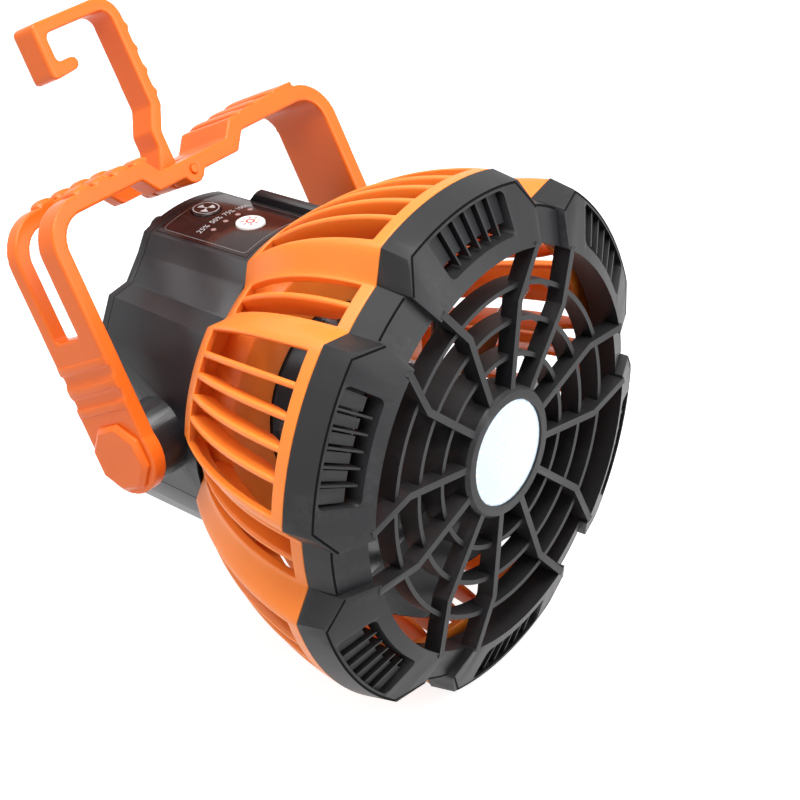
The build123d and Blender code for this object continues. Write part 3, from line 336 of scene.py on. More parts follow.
def node(tree, kind, links=(), **values):
    """Node of a kind with its settings and sockets set and its inputs linked: (socket, source)."""
    made = tree.nodes.new("ShaderNode" + kind)
    for key, value in values.items():
        if key.startswith("in_"):
            made.inputs[int(key[3:]) if key[3:].isdigit() else key[3:].replace("_", " ")].default_value = value
        else:
            setattr(made, key, value)
    for socket, source in links:
        tree.links.new(source, made.inputs[socket])
    return made


# %% Spark grain: the skin of the mould, as a height and as a small change of roughness
GRAIN_HEIGHT = 0.0001
grain, given, out = group("spark grain",
                          {"Grain Size": ("Float", 0.35), "Height": ("Float", 0.25), "Wander": ("Float", 0.08),
                           "Roughness": ("Float", 0.45)},
                          {"Roughness": "Float", "Normal": "Vector"})
place = node(grain, "TexCoord")
per_metre = node(grain, "Math", [(1, given.outputs["Grain Size"])], operation="DIVIDE", in_0=1000.0)
fine = node(grain, "TexNoise", [("Vector", place.outputs["Object"]), ("Scale", per_metre.outputs[0])],
            in_Detail=2.0, in_Roughness=0.6)
broad = node(grain, "TexNoise", [("Vector", place.outputs["Object"])], in_Scale=70.0, in_Detail=3.0)
bump = node(grain, "Bump", [("Height", fine.outputs["Fac"]), ("Strength", given.outputs["Height"])],
            in_Distance=GRAIN_HEIGHT)
centred = node(grain, "Math", [(0, broad.outputs["Fac"])], operation="SUBTRACT", in_1=0.5)
spread = node(grain, "Math", [(0, centred.outputs[0]), (1, given.outputs["Wander"]),
                              (2, given.outputs["Roughness"])], operation="MULTIPLY_ADD")
grain.links.new(spread.outputs[0], out.inputs["Roughness"])
grain.links.new(bump.outputs["Normal"], out.inputs["Normal"])

# %% Melt flow: the slow drift between two close shades of one colour
flow, given, out = group("melt flow",
                         {"Colour": ("Color", None), "Shade": ("Color", None), "Span": ("Float", 26.0)},
                         {"Colour": "Color"})
place = node(flow, "TexCoord")
drift = node(flow, "TexNoise", [("Vector", place.outputs["Object"]), ("Scale", given.outputs["Span"])],
             in_Detail=4.0, in_Roughness=0.55, in_Distortion=0.6)
contrast = node(flow, "MapRange", [("Value", drift.outputs["Fac"])], in_1=0.3, in_2=0.7)
mixed = node(flow, "Mix", [("Factor", contrast.outputs[0]), (6, given.outputs["Colour"]),
                           (7, given.outputs["Shade"])], data_type="RGBA")
flow.links.new(mixed.outputs[2], out.inputs["Colour"])

# %% Worn and lit edges: ridges turn paler, broken up by noise, as wear and as a painted highlight along them
wear_and_highlight, given, out = group("worn edges",
                         {"Colour": ("Color", None), "Edge": ("Color", None), "Amount": ("Float", 0.35)},
                         {"Colour": "Color"})
place = node(wear_and_highlight, "TexCoord")
shape_of = node(wear_and_highlight, "NewGeometry")
ridge = node(wear_and_highlight, "MapRange", [("Value", shape_of.outputs["Pointiness"])], in_1=0.54, in_2=0.68)
breaks = node(wear_and_highlight, "TexNoise", [("Vector", place.outputs["Object"])], in_Scale=420.0, in_Detail=3.0)
patchy = node(wear_and_highlight, "MapRange", [("Value", breaks.outputs["Fac"])], in_1=0.35, in_2=0.65)
rubbed_and_lit = node(wear_and_highlight, "Math", [(0, ridge.outputs[0]), (1, patchy.outputs[0])], operation="MULTIPLY")
held = node(wear_and_highlight, "Math", [(0, rubbed_and_lit.outputs[0]), (1, given.outputs["Amount"])], operation="MULTIPLY")
mixed = node(wear_and_highlight, "Mix", [("Factor", held.outputs[0]), (6, given.outputs["Colour"]), (7, given.outputs["Edge"])],
             data_type="RGBA")
wear_and_highlight.links.new(mixed.outputs[2], out.inputs["Colour"])

# %% Settled dust: what faces up is a touch paler, in patches
dust, given, out = group("settled dust",
                         {"Colour": ("Color", None), "Dust": ("Color", None), "Amount": ("Float", 0.06)},
                         {"Colour": "Color"})
place = node(dust, "TexCoord")
shape_of = node(dust, "NewGeometry")
facing = node(dust, "SeparateXYZ", [(0, shape_of.outputs["Normal"])])
upward = node(dust, "MapRange", [("Value", facing.outputs["Z"])], in_1=0.2, in_2=1.0)
patches = node(dust, "TexNoise", [("Vector", place.outputs["Object"])],
               in_Scale=160.0, in_Detail=6.0, in_Roughness=0.7)
lying = node(dust, "Math", [(0, upward.outputs[0]), (1, patches.outputs["Fac"])], operation="MULTIPLY")
held = node(dust, "Math", [(0, lying.outputs[0]), (1, given.outputs["Amount"])], operation="MULTIPLY")
mixed = node(dust, "Mix", [("Factor", held.outputs[0]), (6, given.outputs["Colour"]), (7, given.outputs["Dust"])],
             data_type="RGBA")
dust.links.new(mixed.outputs[2], out.inputs["Colour"])
print("shared effects:", [g.name for g in bpy.data.node_groups])

# %% [markdown]
# ## Finishes
# Most of the fan is one family of plastics that differ in colour, grain and shine: a satin orange
# with a fine grain, a black with a coarser one on the grille, and a dark grey on the housing. One
# function builds such a finish from the shared groups, and the few that need more, such as the
# glossy panel and the lit lens, are built after it.

# %% How a moulded plastic is made
finishes = {}
DUST_COLOUR = (0.5, 0.47, 0.42, 1)


def moulded(slot, colour, shade, edge, roughness, grain_size, height, wander, edge_wear_and_highlight, dust_amount,
            specular=0.5, metallic=0.0):
    """Principled material: flow, then the edges' wear and painted highlight, then dust feed the colour; the grain feeds
    the rest.
    """
    made = bpy.data.materials.new(slot)
    made.use_nodes = True
    tree = made.node_tree
    shader = tree.nodes["Principled BSDF"]
    first = node(tree, "Group", node_tree=flow)
    first.inputs["Colour"].default_value = (*colour, 1)
    first.inputs["Shade"].default_value = (*shade, 1)
    second = node(tree, "Group", [("Colour", first.outputs["Colour"])], node_tree=wear_and_highlight, in_Amount=edge_wear_and_highlight)
    second.inputs["Edge"].default_value = (*edge, 1)
    third = node(tree, "Group", [("Colour", second.outputs["Colour"])], node_tree=dust, in_Amount=dust_amount)
    third.inputs["Dust"].default_value = DUST_COLOUR
    skin = node(tree, "Group", node_tree=grain, in_Grain_Size=grain_size, in_Height=height,
                in_Wander=wander, in_Roughness=roughness)
    tree.links.new(third.outputs["Colour"], shader.inputs["Base Color"])
    tree.links.new(skin.outputs["Roughness"], shader.inputs["Roughness"])
    tree.links.new(skin.outputs["Normal"], shader.inputs["Normal"])
    shader.inputs["Metallic"].default_value = metallic
    shader.inputs["Specular IOR Level"].default_value = specular
    finishes[slot] = made
    return made


# %% Finishes of the shells, the bail and the grille
# after the three colours (the third is the edges' worn and painted-highlight colour): roughness, grain size, grain
# height, wander, edge wear and painted highlight, dust
moulded("orange_plastic", (0.93, 0.244, 0.028), (0.89, 0.220, 0.023), (0.95, 0.34, 0.07),
        0.36, 0.3, 0.16, 0.06, 0.3, 0.02, specular=0.4)
# the bail's orange is a darker, redder copy of the shell's: painted shade on the bail and the hook
moulded("bail_shaded_orange", (0.84, 0.152, 0.013), (0.78, 0.134, 0.011), (0.93, 0.28, 0.05),
        0.32, 0.3, 0.14, 0.06, 0.3, 0.02, specular=0.3)
moulded("black_plastic", (0.0105, 0.0105, 0.012), (0.0085, 0.0085, 0.010), (0.045, 0.045, 0.048),
        0.44, 0.4, 0.42, 0.08, 0.3, 0.02, specular=0.3)
moulded("housing_plastic", (0.0115, 0.012, 0.0148), (0.009, 0.0093, 0.0118), (0.05, 0.049, 0.052),
        0.34, 0.3, 0.22, 0.08, 0.3, 0.02, specular=0.45)
moulded("dark_plastic", (0.014, 0.015, 0.018), (0.010, 0.011, 0.013), (0.06, 0.06, 0.07),
        0.26, 0.5, 0.08, 0.1, 0.2, 0.02)
print("finishes so far:", sorted(finishes))

# %% Finishes of the small parts and of what is inside
moulded("white_plastic", (0.72, 0.72, 0.7), (0.64, 0.64, 0.62), (0.8, 0.8, 0.8), 0.4, 0.4, 0.12, 0.08, 0.1, 0.05)
moulded("button_white", (0.82, 0.81, 0.79), (0.76, 0.75, 0.73), (0.9, 0.9, 0.9), 0.35, 0.3, 0.1, 0.08, 0.1, 0.04)
moulded("foot_rubber", (0.018, 0.018, 0.018), (0.012, 0.012, 0.012), (0.05, 0.05, 0.05),
        0.75, 0.6, 0.5, 0.15, 0.5, 0.2)
moulded("steel", (0.55, 0.56, 0.58), (0.42, 0.43, 0.45), (0.75, 0.75, 0.76),
        0.3, 0.15, 0.15, 0.2, 0.4, 0.04, metallic=1.0)
moulded("cell_sleeve", (0.05, 0.16, 0.45), (0.04, 0.13, 0.38), (0.2, 0.3, 0.5), 0.3, 0.6, 0.1, 0.1, 0.3, 0.02)
moulded("led_chip", (0.85, 0.7, 0.25), (0.8, 0.62, 0.2), (0.9, 0.85, 0.6), 0.3, 0.3, 0.1, 0.05, 0.1, 0.0)
moulded("circuit_board", (0.01, 0.12, 0.045), (0.008, 0.09, 0.03), (0.15, 0.3, 0.15), 0.35, 1.2, 0.3, 0.1, 0.3, 0.03)
print("finishes so far:", sorted(finishes))

# %% [markdown]
# ## The glossy panel and the lens
# The control panel is a smoked sheet with a mirror finish: near black, warm in the light, with fine
# wiping marks that only change its shine. The lens is milky and lit from behind, and its moulded
# dots are small spots in the glow, set out by a Voronoi pattern that is almost regular.

# %% Gloss panel
gloss = moulded("panel_gloss", (0.022, 0.005, 0.005), (0.014, 0.004, 0.004), (0.05, 0.03, 0.03),
                0.12, 0.9, 0.03, 0.12, 0.2, 0.03, specular=0.4)
tree = gloss.node_tree
place = node(tree, "TexCoord")
drawn_out = node(tree, "Mapping", [("Vector", place.outputs["Object"])], in_Scale=(900, 120, 120))
wipes = node(tree, "TexNoise", [("Vector", drawn_out.outputs[0])], in_Scale=1.0, in_Detail=4.0)
shine = node(tree, "MapRange", [("Value", wipes.outputs["Fac"])], in_3=0.05, in_4=0.2)
tree.links.new(shine.outputs[0], tree.nodes["Principled BSDF"].inputs["Roughness"])

# %% Lit lens
DOT_DENSITY = 0.42
lit = bpy.data.materials.new("lens")
lit.use_nodes = True
tree = lit.node_tree
shader = tree.nodes["Principled BSDF"]
place = node(tree, "TexCoord")
local = node(tree, "Mapping", [("Vector", place.outputs["Object"])],
             in_Location=tuple(-to_scene((0, 0, 0)) * 1000.0), in_Scale=(1000, 1000, 1000))
dots = node(tree, "TexVoronoi", [("Vector", local.outputs[0])], in_Scale=DOT_DENSITY, in_Randomness=0.12)
spot = node(tree, "MapRange", [("Value", dots.outputs["Distance"])], in_1=0.1, in_2=0.5, in_3=1.0, in_4=0.25,
            interpolation_type="SMOOTHSTEP")
glow = node(tree, "Mix", [("Factor", spot.outputs[0])], data_type="RGBA")
glow.inputs[6].default_value = (0.42, 0.60, 0.76, 1)
glow.inputs[7].default_value = (1.0, 1.0, 1.0, 1)
tone = node(tree, "Group", node_tree=flow, in_Span=200.0)
tone.inputs["Colour"].default_value = (0.26, 0.3, 0.34, 1)
tone.inputs["Shade"].default_value = (0.22, 0.26, 0.3, 1)
skin = node(tree, "Group", node_tree=grain, in_Grain_Size=1.6, in_Height=0.12, in_Wander=0.05, in_Roughness=0.16)
tree.links.new(glow.outputs[2], shader.inputs["Emission Color"])
tree.links.new(tone.outputs["Colour"], shader.inputs["Base Color"])
tree.links.new(skin.outputs["Normal"], shader.inputs["Normal"])
shader.inputs["Emission Strength"].default_value = 0.85
shader.inputs["Roughness"].default_value = 0.12
shader.inputs["Coat Weight"].default_value = 0.4
finishes["lens"] = lit

# %% [markdown]
# The orange is a little translucent: light that enters a thin slat comes out of its edges. The bail
# and the hook are thicker, so they let less light through; their darker, redder orange is painted shade.

# %% Light inside the orange
for slot, weight in (("orange_plastic", 0.25), ("bail_shaded_orange", 0.1)):
    shader = finishes[slot].node_tree.nodes["Principled BSDF"]
    shader.inputs["Subsurface Weight"].default_value = weight
    shader.inputs["Subsurface Radius"].default_value = (1.0, 0.42, 0.14)
    shader.inputs["Subsurface Scale"].default_value = 0.0022
print("finishes:", sorted(finishes))

# %% [markdown]
# ## The louvred shell
# The orange shell starts at the grille's skirt and draws in towards the housing. Round it, six raised
# bands alternate with six recesses, each joined to the next by a slanted side. Seen along the air
# axis its outline is three kinds of run: an arc at the raised radius, a straight slanted side, and an
# arc at the recess's radius. Both radii shrink backwards along circles, so one function gives the
# radius at any angle and depth, and the shell is that surface outside and the same surface, drawn in
# by the wall, inside. The windows are cells left out.

# %% Radius of the shell
PANEL_TURN = -4.1
FRONT, REAR, WALL = 18.2, 83.0, 3.0
WINDOW_FRONT, WINDOW_REAR = 23.2, 76.5
RAISED_ARC, SIDE_FOOT, WINDOW_HALF = 18.8, 23.9, 16.9
FLARE_START = 18.0


def flare(depth, start, draw):
    """Radius at a depth on the circle through three points: the start and two that are drawn in."""
    (x0, y0), (x1, y1), (x2, y2) = [(start - inward, FLARE_START + backward) for inward, backward in draw]
    a, b, c = x1 - x0, y1 - y0, (x1 * x1 - x0 * x0 + y1 * y1 - y0 * y0) / 2
    d, e, f = x2 - x0, y2 - y0, (x2 * x2 - x0 * x0 + y2 * y2 - y0 * y0) / 2
    centre = (c * e - b * f) / (a * e - b * d), (a * f - c * d) / (a * e - b * d)
    reach = np.hypot(x0 - centre[0], y0 - centre[1])
    return centre[0] + np.sqrt(reach ** 2 - (np.asarray(depth, float) - centre[1]) ** 2)


def raised_radius(depth):
    return flare(depth, 86.6, ((0.0, 0.2), (11.0, 37.0), (29.0, 65.0)))


def recess_radius(depth):
    return flare(depth, 78.0, ((0.0, 0.2), (8.6, 37.0), (26.8, 65.0)))


def soft_side(before, corner, foot, after):
    """Slanted side from corner to foot with both corners rounded: Bezier points of degree two."""
    def bend(a, b, c):
        s = np.array([0.0, 0.25, 0.5, 0.75, 1.0])[:, None]
        return (1 - s) ** 2 * a + 2 * s * (1 - s) * b + s * s * c
    first = bend(before + (corner - before) * 0.45, corner, corner + (foot - corner) * 0.3)
    last = bend(corner + (foot - corner) * 0.7, foot, foot + (after - foot) * 0.55)
    return np.concatenate([first, last])


def outline(depth, inset=0.0):
    """Points round the shell at one depth: arc, slanted side, arc, side, six times over.

    The half angles where an arc ends shrink a little towards the rear, and an inset draws the
    radii in and shortens the raised arc, so that the slanted sides keep their thickness too.
    """
    back_share = np.clip((depth - FRONT) / (REAR - FRONT), 0, 1)
    high, low = raised_radius(depth) - inset, recess_radius(depth) - inset
    outer = RAISED_ARC - 1.2 * back_share - 0.5 * inset / WALL
    side = SIDE_FOOT - 0.7 * back_share - 1.6 * inset / WALL
    band = np.array([-1.0, -0.94, -0.72, -0.54, -0.36, -0.18, 0, 0.18, 0.36, 0.54, 0.72, 0.94, 1.0]) * outer
    band[1], band[-2] = -WINDOW_HALF, WINDOW_HALF
    hollow = np.array([side, 24.6, 26.0, 28.0, 30.0, 32.0, 34.0, 35.4, 60.0 - side])
    band, hollow, turn = np.radians(band), np.radians(hollow), radians(60.0)
    raised = np.stack([high * np.sin(band), high * np.cos(band)], -1)
    sunk = np.stack([low * np.sin(hollow), low * np.cos(hollow)], -1)
    following = raised[:2] @ np.array([[cos(turn), -sin(turn)], [sin(turn), cos(turn)]])
    down = soft_side(raised[-2], raised[-1], sunk[0], sunk[1])
    rise = soft_side(sunk[-2], sunk[-1], following[0], following[1])
    x, z = np.concatenate([raised[1:-1], down, sunk[1:-1], rise]).T
    a = np.radians(PANEL_TURN + 60.0 * np.arange(6))[:, None]
    around, upward = (x * np.cos(a) + z * np.sin(a)).ravel(), (z * np.cos(a) - x * np.sin(a)).ravel()
    return np.stack([around, np.full(len(around), depth), upward], -1)


for name, radius_at in (("raised", raised_radius), ("recess", recess_radius)):
    print(name, "radius from front to rear:", np.round(radius_at(np.array([FRONT, REAR])), 1))

# %% [markdown]
# The shell's cells run along the depth and round the outline. A circle in front carries the grille's
# flange and a circle behind closes the rear wall round the housing.

# %% Skin of the shell
def circle_like(ring, radius, depth):
    """The ring's own angles on a circle: X and Z keep their direction and take a new radius."""
    flat = ring[:, [0, 2]]
    flat = flat / np.linalg.norm(flat, axis=1, keepdims=True) * radius
    return np.stack([flat[:, 0], np.full(len(flat), depth), flat[:, 1]], -1)


FLANGE_R, REAR_HOLE_R = 68.8, 47.7
FRONT_INSIDE, REAR_INSIDE = 20.8, 80.2
depths = np.concatenate([[21.6, WINDOW_FRONT], np.linspace(26.0, 73.5, 17), [WINDOW_REAR, 78.6]])


def closed_rows(rows, front, rear):
    """Rows of points with the flange's circle before them and the rear hole's circle after them."""
    return np.stack([circle_like(rows[0], FLANGE_R, front)] + rows + [circle_like(rows[-1], REAR_HOLE_R, rear)])


outer_rows = closed_rows([outline(d) for d in (FRONT, *depths, REAR)], FRONT, REAR)
inner_depths = (FRONT_INSIDE, *np.maximum(depths, 21.3), REAR_INSIDE)
inner_rows = closed_rows([outline(d, WALL) for d in inner_depths], FRONT_INSIDE, REAR_INSIDE)
print("rows and columns:", outer_rows.shape[:2])

# %% [markdown]
# The windows are the cells between two depths and inside two ranges of each sixth of the outline:
# one in the raised band and one in the recess.

# %% Windows
RAISED_CELLS, RECESS_FIRST, RECESS_CELLS = 10, 21, 6
columns = outer_rows.shape[1]
in_unit = np.arange(columns) % (columns // 6)
in_window = (in_unit < RAISED_CELLS) | ((in_unit >= RECESS_FIRST) & (in_unit < RECESS_FIRST + RECESS_CELLS))
row_depth = np.concatenate([[FRONT, FRONT], depths, [REAR, REAR]])
open_row = (row_depth[:-1] >= WINDOW_FRONT - 0.01) & (row_depth[:-1] < WINDOW_REAR - 0.01)
keep = ~(open_row[:, None] & in_window[None, :])
skin = shell(outer_rows, inner_rows, keep)
print("cells left open:", int((~keep).sum()))

# %% [markdown]
# The slats are separate ribs across each window. A slat's outer edge follows the shell and is fully
# round, which is the bright line along it; inwards it grows deep to guide the air. Each is a rounded
# outline whose height changes along the depth.

# %% Slats
SLAT_FRONT, SLAT_REAR = 22.6, 77.0
RAISED_SLATS, RAISED_DEEP, RECESS_DEEP = (-9.6, -3.2, 3.2, 9.6), 8.2, 10.5


def slat(radius_at, degrees_round, deep, width=2.2):
    """Rib along the depth: at each station an upright rounded outline from r - deep(Y) to r(Y)."""
    station = np.linspace(SLAT_FRONT, SLAT_REAR, 33)
    top = radius_at(station)
    rise = np.clip((station - SLAT_FRONT) / 13.0, 0, 1)
    fall = np.clip((SLAT_REAR - station) / 8.0, 0, 1)
    height = deep * (0.42 + 0.58 * rise * rise * (3 - 2 * rise)) * (0.8 + 0.2 * fall)
    turn = np.linspace(0, pi, 7)
    cap = np.stack([np.cos(turn) * width / 2, np.sin(turn) * width / 2], -1)
    lower = np.array([[-0.42, 0.0], [-0.3, -0.35], [0.3, -0.35], [0.42, 0.0]]) * width
    across = np.concatenate([cap[:, 0], lower[:, 0]])[None, :] * np.ones((len(station), 1))
    upright = np.concatenate([
        (top - width / 2)[:, None] + cap[:, 1][None, :],
        (top - height)[:, None] + lower[:, 1][None, :]], 1)
    a = radians(degrees_round)
    x = across * cos(a) + upright * sin(a)
    z = upright * cos(a) - across * sin(a)
    return sweep(np.stack([x, np.broadcast_to(station[:, None], x.shape), z], -1))


ribs = []
for k in range(6):
    middle = PANEL_TURN + 60.0 * k
    ribs += [slat(raised_radius, middle + a, RAISED_DEEP) for a in RAISED_SLATS]
    ribs.append(slat(recess_radius, middle + 30.0, RECESS_DEEP))
print("slats:", len(ribs))

# %% [markdown]
# Behind the impeller the shell closes with a floor and a short collar, which the housing plugs into.
# It shows through the slats as a warm inner wall. A closed profile turned about the axis gives it.

# %% Floor, collar and the finished shell
def lathe(profile, count=96):
    """Ring from a closed (radius, depth) profile turned about the air axis."""
    profile = np.asarray(profile, float)
    ring = polar(profile[:, :1], np.linspace(0, 360, count, endpoint=False)[None, :], profile[:, 1:])
    ring = np.concatenate([ring, ring[:1]])
    faces = grid_quads(len(profile) + 1, count, 0, True).reshape(-1, 4)
    return ring.reshape(-1, 3), faces


collar = lathe([(47.7, 80.6), (47.7, 71.8), (31.0, 71.8), (31.0, 70.4), (48.6, 70.4), (49.3, 71.1), (49.3, 80.6)])
piece("louvred_shell", join(skin, *ribs, collar), "head", ["body_shell"], "orange_plastic", bevel=0.4)

# %% [markdown]
# ## The impeller
# Seven broad blades twist as they leave the hub: steep at the root, flatter at the tip, and swept
# forwards a little so that they pass the guard quietly. A blade is a thin closed outline carried
# outwards while it turns; the hub is a turned cup with a round front edge.

# %% Blades
BLADES, ROOT_R, BLADE_LONG, BLADE_MIDDLE = 7, 18.0, 43.3, 24.75
BLADE_FRONT, BLADE_BACK = 14.7, 34.8


def blade(degrees_round):
    """Stations outwards: chord 24.5 to 37 mm, pitch 52 to 27 degrees, bowed 1.8 mm, with a round tip."""
    span = np.linspace(0, 1, 22)
    radius = ROOT_R + BLADE_LONG * span
    chord = (24.5 + 12.5 * span) * (1 - 9.6 * np.clip(span - 0.9, 0, None) ** 1.5)
    pitch = np.radians(52.0 - 25.0 * span ** 0.8)
    sweep_turn = np.radians(5.0 * span ** 2)
    along = np.linspace(-0.5, 0.5, 13)
    thick = 0.85 * np.sqrt(np.clip(1 - (2 * along) ** 4, 0, 1)) + 0.06
    bow = 1.8 * (1 - (2 * along) ** 2)
    s = np.concatenate([along, along[::-1][1:-1]])
    t = np.concatenate([bow + thick, (bow - thick)[::-1][1:-1]])
    cx = chord[:, None] * s[None, :] * np.cos(pitch)[:, None] - t[None, :] * np.sin(pitch)[:, None]
    cy = chord[:, None] * s[None, :] * np.sin(pitch)[:, None] + t[None, :] * np.cos(pitch)[:, None]
    a = cx / radius[:, None] + sweep_turn[:, None] + radians(degrees_round)
    x, z = radius[:, None] * np.sin(a), radius[:, None] * np.cos(a)
    return sweep(np.stack([x, np.clip(BLADE_MIDDLE + cy, BLADE_FRONT, BLADE_BACK), z], -1))


# %% Hub, bush and the impeller as one moulding
hub = lathe([(1.6, 16.4), (1.6, 15.0), (12.0, 14.8), (16.2, 15.3), (18.2, 16.9), (19.0, 19.6), (19.0, 35.0),
             (17.0, 35.0), (17.0, 20.0), (15.6, 17.6), (12.0, 16.6)], 72)
shaft_bush = lathe([(1.6, 15.2), (5.0, 15.2), (5.0, 34.0), (1.6, 34.0)], 40)
blades = [blade(k * 360 / BLADES) for k in range(BLADES)]
piece("impeller_moulding", join(hub, shaft_bush, *blades), "impeller", ["impeller"], "dark_plastic", bevel=0.3)

# %% [markdown]
# ## Grille, housing, bail and hook
# These solids have the right shape and only need the rounding of a mould. The grille and the housing
# have crisp edges with a small radius. The bail and the hook are softer, almost melted: their copies
# are rebuilt from small cubes and then smoothed, which rounds every edge and fills every corner.

# %% Crisp parts
DUCT_END, DUCT_INNER_R, DUCT_OUTER_R = 11.0, 60.0, 68.7


def shorter_duct(points):
    """The wall round the grille's mouth ends 11 mm in, so that the shell's warm inside shows behind it."""
    radius = np.hypot(points[:, 0], points[:, 2])
    in_wall = (radius > DUCT_INNER_R) & (radius < DUCT_OUTER_R) & (points[:, 1] > DUCT_END)
    points[in_wall, 1] = DUCT_END
    return points


softened("front_grille", 0.45, reshape=shorter_duct)
for node_name, width in (("upper_housing", 0.7), ("lower_housing", 0.6), ("rear_cover", 0.7), ("control_panel", 0.25),
                         ("motor_mount", 0.3), ("pivot_cap_left", 0.7), ("pivot_cap_right", 0.7)):
    softened(node_name, width)

# %% Corners of the hook
def corners_rounded(mesh, radius, beyond):
    """Edges that run across the strap left of an X and turn by about 80 degrees or more get a radius."""
    made = bmesh.new()
    made.from_mesh(mesh)
    sharp = [e for e in made.edges if e.is_manifold and abs(e.calc_face_angle()) > radians(77.35)
             and abs((e.verts[1].co - e.verts[0].co).normalized().y) > 0.8
             and e.verts[0].co.x * 1000 + SEAT[0] < beyond]
    bmesh.ops.bevel(made, geom=sharp, offset=radius / 1000, offset_type="OFFSET", segments=5, profile=0.5,
                    affect="EDGES", clamp_overlap=True)
    made.to_mesh(mesh)
    made.free()
    print("rounded corners:", len(sharp))


# %% Melted parts
def melted(node_name, cube, passes, slot=None, corner=0.0, beyond=0.0):
    """Copy of a node rebuilt from cubes of a size and smoothed: every edge turns round."""
    thing = merged(node_name)
    if corner:
        corners_rounded(thing.data, corner, beyond)
    rebuilt = thing.modifiers.new("cubes", "REMESH")
    rebuilt.mode, rebuilt.voxel_size, rebuilt.adaptivity = "VOXEL", cube / 1000, 0.0
    rebuilt.use_smooth_shade = True
    soft = thing.modifiers.new("soft", "SMOOTH")
    soft.factor, soft.iterations = 0.5, passes
    if slot:
        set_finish(thing, slot)


melted("handle", 0.52, 3)
melted("hook", 0.42, 16, corner=2.4, beyond=-15.0)
melted("hook_pin", 0.25, 6, "orange_plastic")

# %% [markdown]
# ## Seams of the grille
# A thin groove runs round each raised face of the grille and across each recess, where the face
# was moulded as a plane of its own. A groove is too fine to cut, so a hair-thin dark bead lies in
# its place, almost flush: it paints the shadow inside the groove.

# %% Paths on the face
FACE_SLOPE, MOUTH_R = 0.45, 66.0


def bead(path, width=0.75, lift=0.07, sink=0.4):
    """Flat bead along points on the face: a four-cornered outline whose top stands just proud."""
    path = np.asarray(path, float)
    ahead = np.gradient(path, axis=0)
    ahead /= np.linalg.norm(ahead, axis=1, keepdims=True)
    radial = path * (1, 0, 1)
    radial /= np.linalg.norm(radial, axis=1, keepdims=True)
    facing = (radial * FACE_SLOPE - np.array([0, 1.0, 0])) / np.hypot(1.0, FACE_SLOPE)
    aside = np.cross(ahead, facing)
    aside /= np.linalg.norm(aside, axis=1, keepdims=True)
    corners = [(-0.5 * width, lift), (0.5 * width, lift), (0.3 * width, -sink), (-0.3 * width, -sink)]
    return sweep(np.stack([path + aside * a + facing * b for a, b in corners], 1))


def on_face(radius, degrees_round, fall=0.0):
    """Point on the grille's sloping face: Y grows by 0.45 for each millimetre past the mouth."""
    return polar(radius, degrees_round, (np.asarray(radius, float) - MOUTH_R) * FACE_SLOPE + fall)


def straight(a, b, count=9):
    """Points on the line between two points."""
    return a + (b - a) * np.linspace(0, 1, count)[:, None]


# %% Grooves
RIM_R, FOOT_R, RIM_HALF, FOOT_HALF = 84.6, 77.0, 17.8, 23.7
beads = []
for k in range(6):
    middle = PANEL_TURN + 60.0 * k
    feet = [on_face(FOOT_R, middle + side * FOOT_HALF) for side in (-1, 1)]
    tops = [on_face(RIM_R, middle + side * RIM_HALF) for side in (-1, 1)]
    arc = on_face(np.full(25, RIM_R), middle + np.linspace(-RIM_HALF, RIM_HALF, 25))
    beads.append(bead(np.concatenate([straight(feet[0], tops[0]), arc[1:-1], straight(tops[1], feet[1])])))
    beads.append(bead(on_face(np.full(9, 76.9), middle + 30 + np.linspace(-5.6, 5.6, 9), 3.0)))

# near-black finish of the grooves, the screws' crosses and the seam behind the shell: painted shade
painted_shade = bpy.data.materials.new("painted shade")
painted_shade.use_nodes = True
tree = painted_shade.node_tree
shader = tree.nodes["Principled BSDF"]
skin = node(tree, "Group", node_tree=grain, in_Grain_Size=0.3, in_Height=0.3, in_Wander=0.1, in_Roughness=0.8)
tone = node(tree, "Group", node_tree=flow)
tone.inputs["Colour"].default_value = (0.003, 0.003, 0.003, 1)
tone.inputs["Shade"].default_value = (0.002, 0.002, 0.002, 1)
tree.links.new(skin.outputs["Roughness"], shader.inputs["Roughness"])
tree.links.new(tone.outputs["Colour"], shader.inputs["Base Color"])
shader.inputs["Specular IOR Level"].default_value = 0.08
own_finish(piece("grille_groove_shade", join(*beads), "head", slot="black_plastic"), painted_shade)

# %% [markdown]
# ## Grips on the bail
# The bar's left rails carry round knuckles for the fingers, and its right half rises in soft steps.
# A knuckle is a half-ellipse carried across the strip, which shrinks towards both ends so that it
# has no sharp corner. It is drawn upright and then leant back with the bail.

# %% A knuckle
LEAN, PIVOT_Y = radians(26.0), 100.5


def leant(points):
    """From upright about the bail's pivot to its place: y' = Yp + y cos + z sin, z' = z cos - y sin."""
    x, y, z = np.moveaxis(np.asarray(points, float), -1, 0)
    return np.stack([x, PIVOT_Y + y * cos(LEAN) + z * sin(LEAN), z * cos(LEAN) - y * sin(LEAN)], -1)


def knuckle(x, half, high, y_low, y_high, base, count=15):
    """Half-ellipse across the strip: x = x0 + half cos t, z = base + high sin t, less at the ends."""
    t = np.linspace(0, pi, 13)
    across = np.linspace(-1, 1, count)
    size = np.clip(1 - across ** 6, 0.0, 1) ** 0.5 * 0.92 + 0.08
    y = (y_low + y_high) / 2 + across * (y_high - y_low) / 2
    ring_x = np.concatenate([np.cos(t), [-0.9, 0.9]]) * half
    ring_z = np.concatenate([np.sin(t) * high, [-0.7, -0.7]])
    grid = np.stack([x + ring_x[None, :] * (0.7 + 0.3 * size[:, None]),
                     np.broadcast_to(y[:, None], (count, len(ring_x))),
                     base + np.where(ring_z > 0, ring_z * size[:, None], ring_z)], -1)
    return sweep(leant(grid))


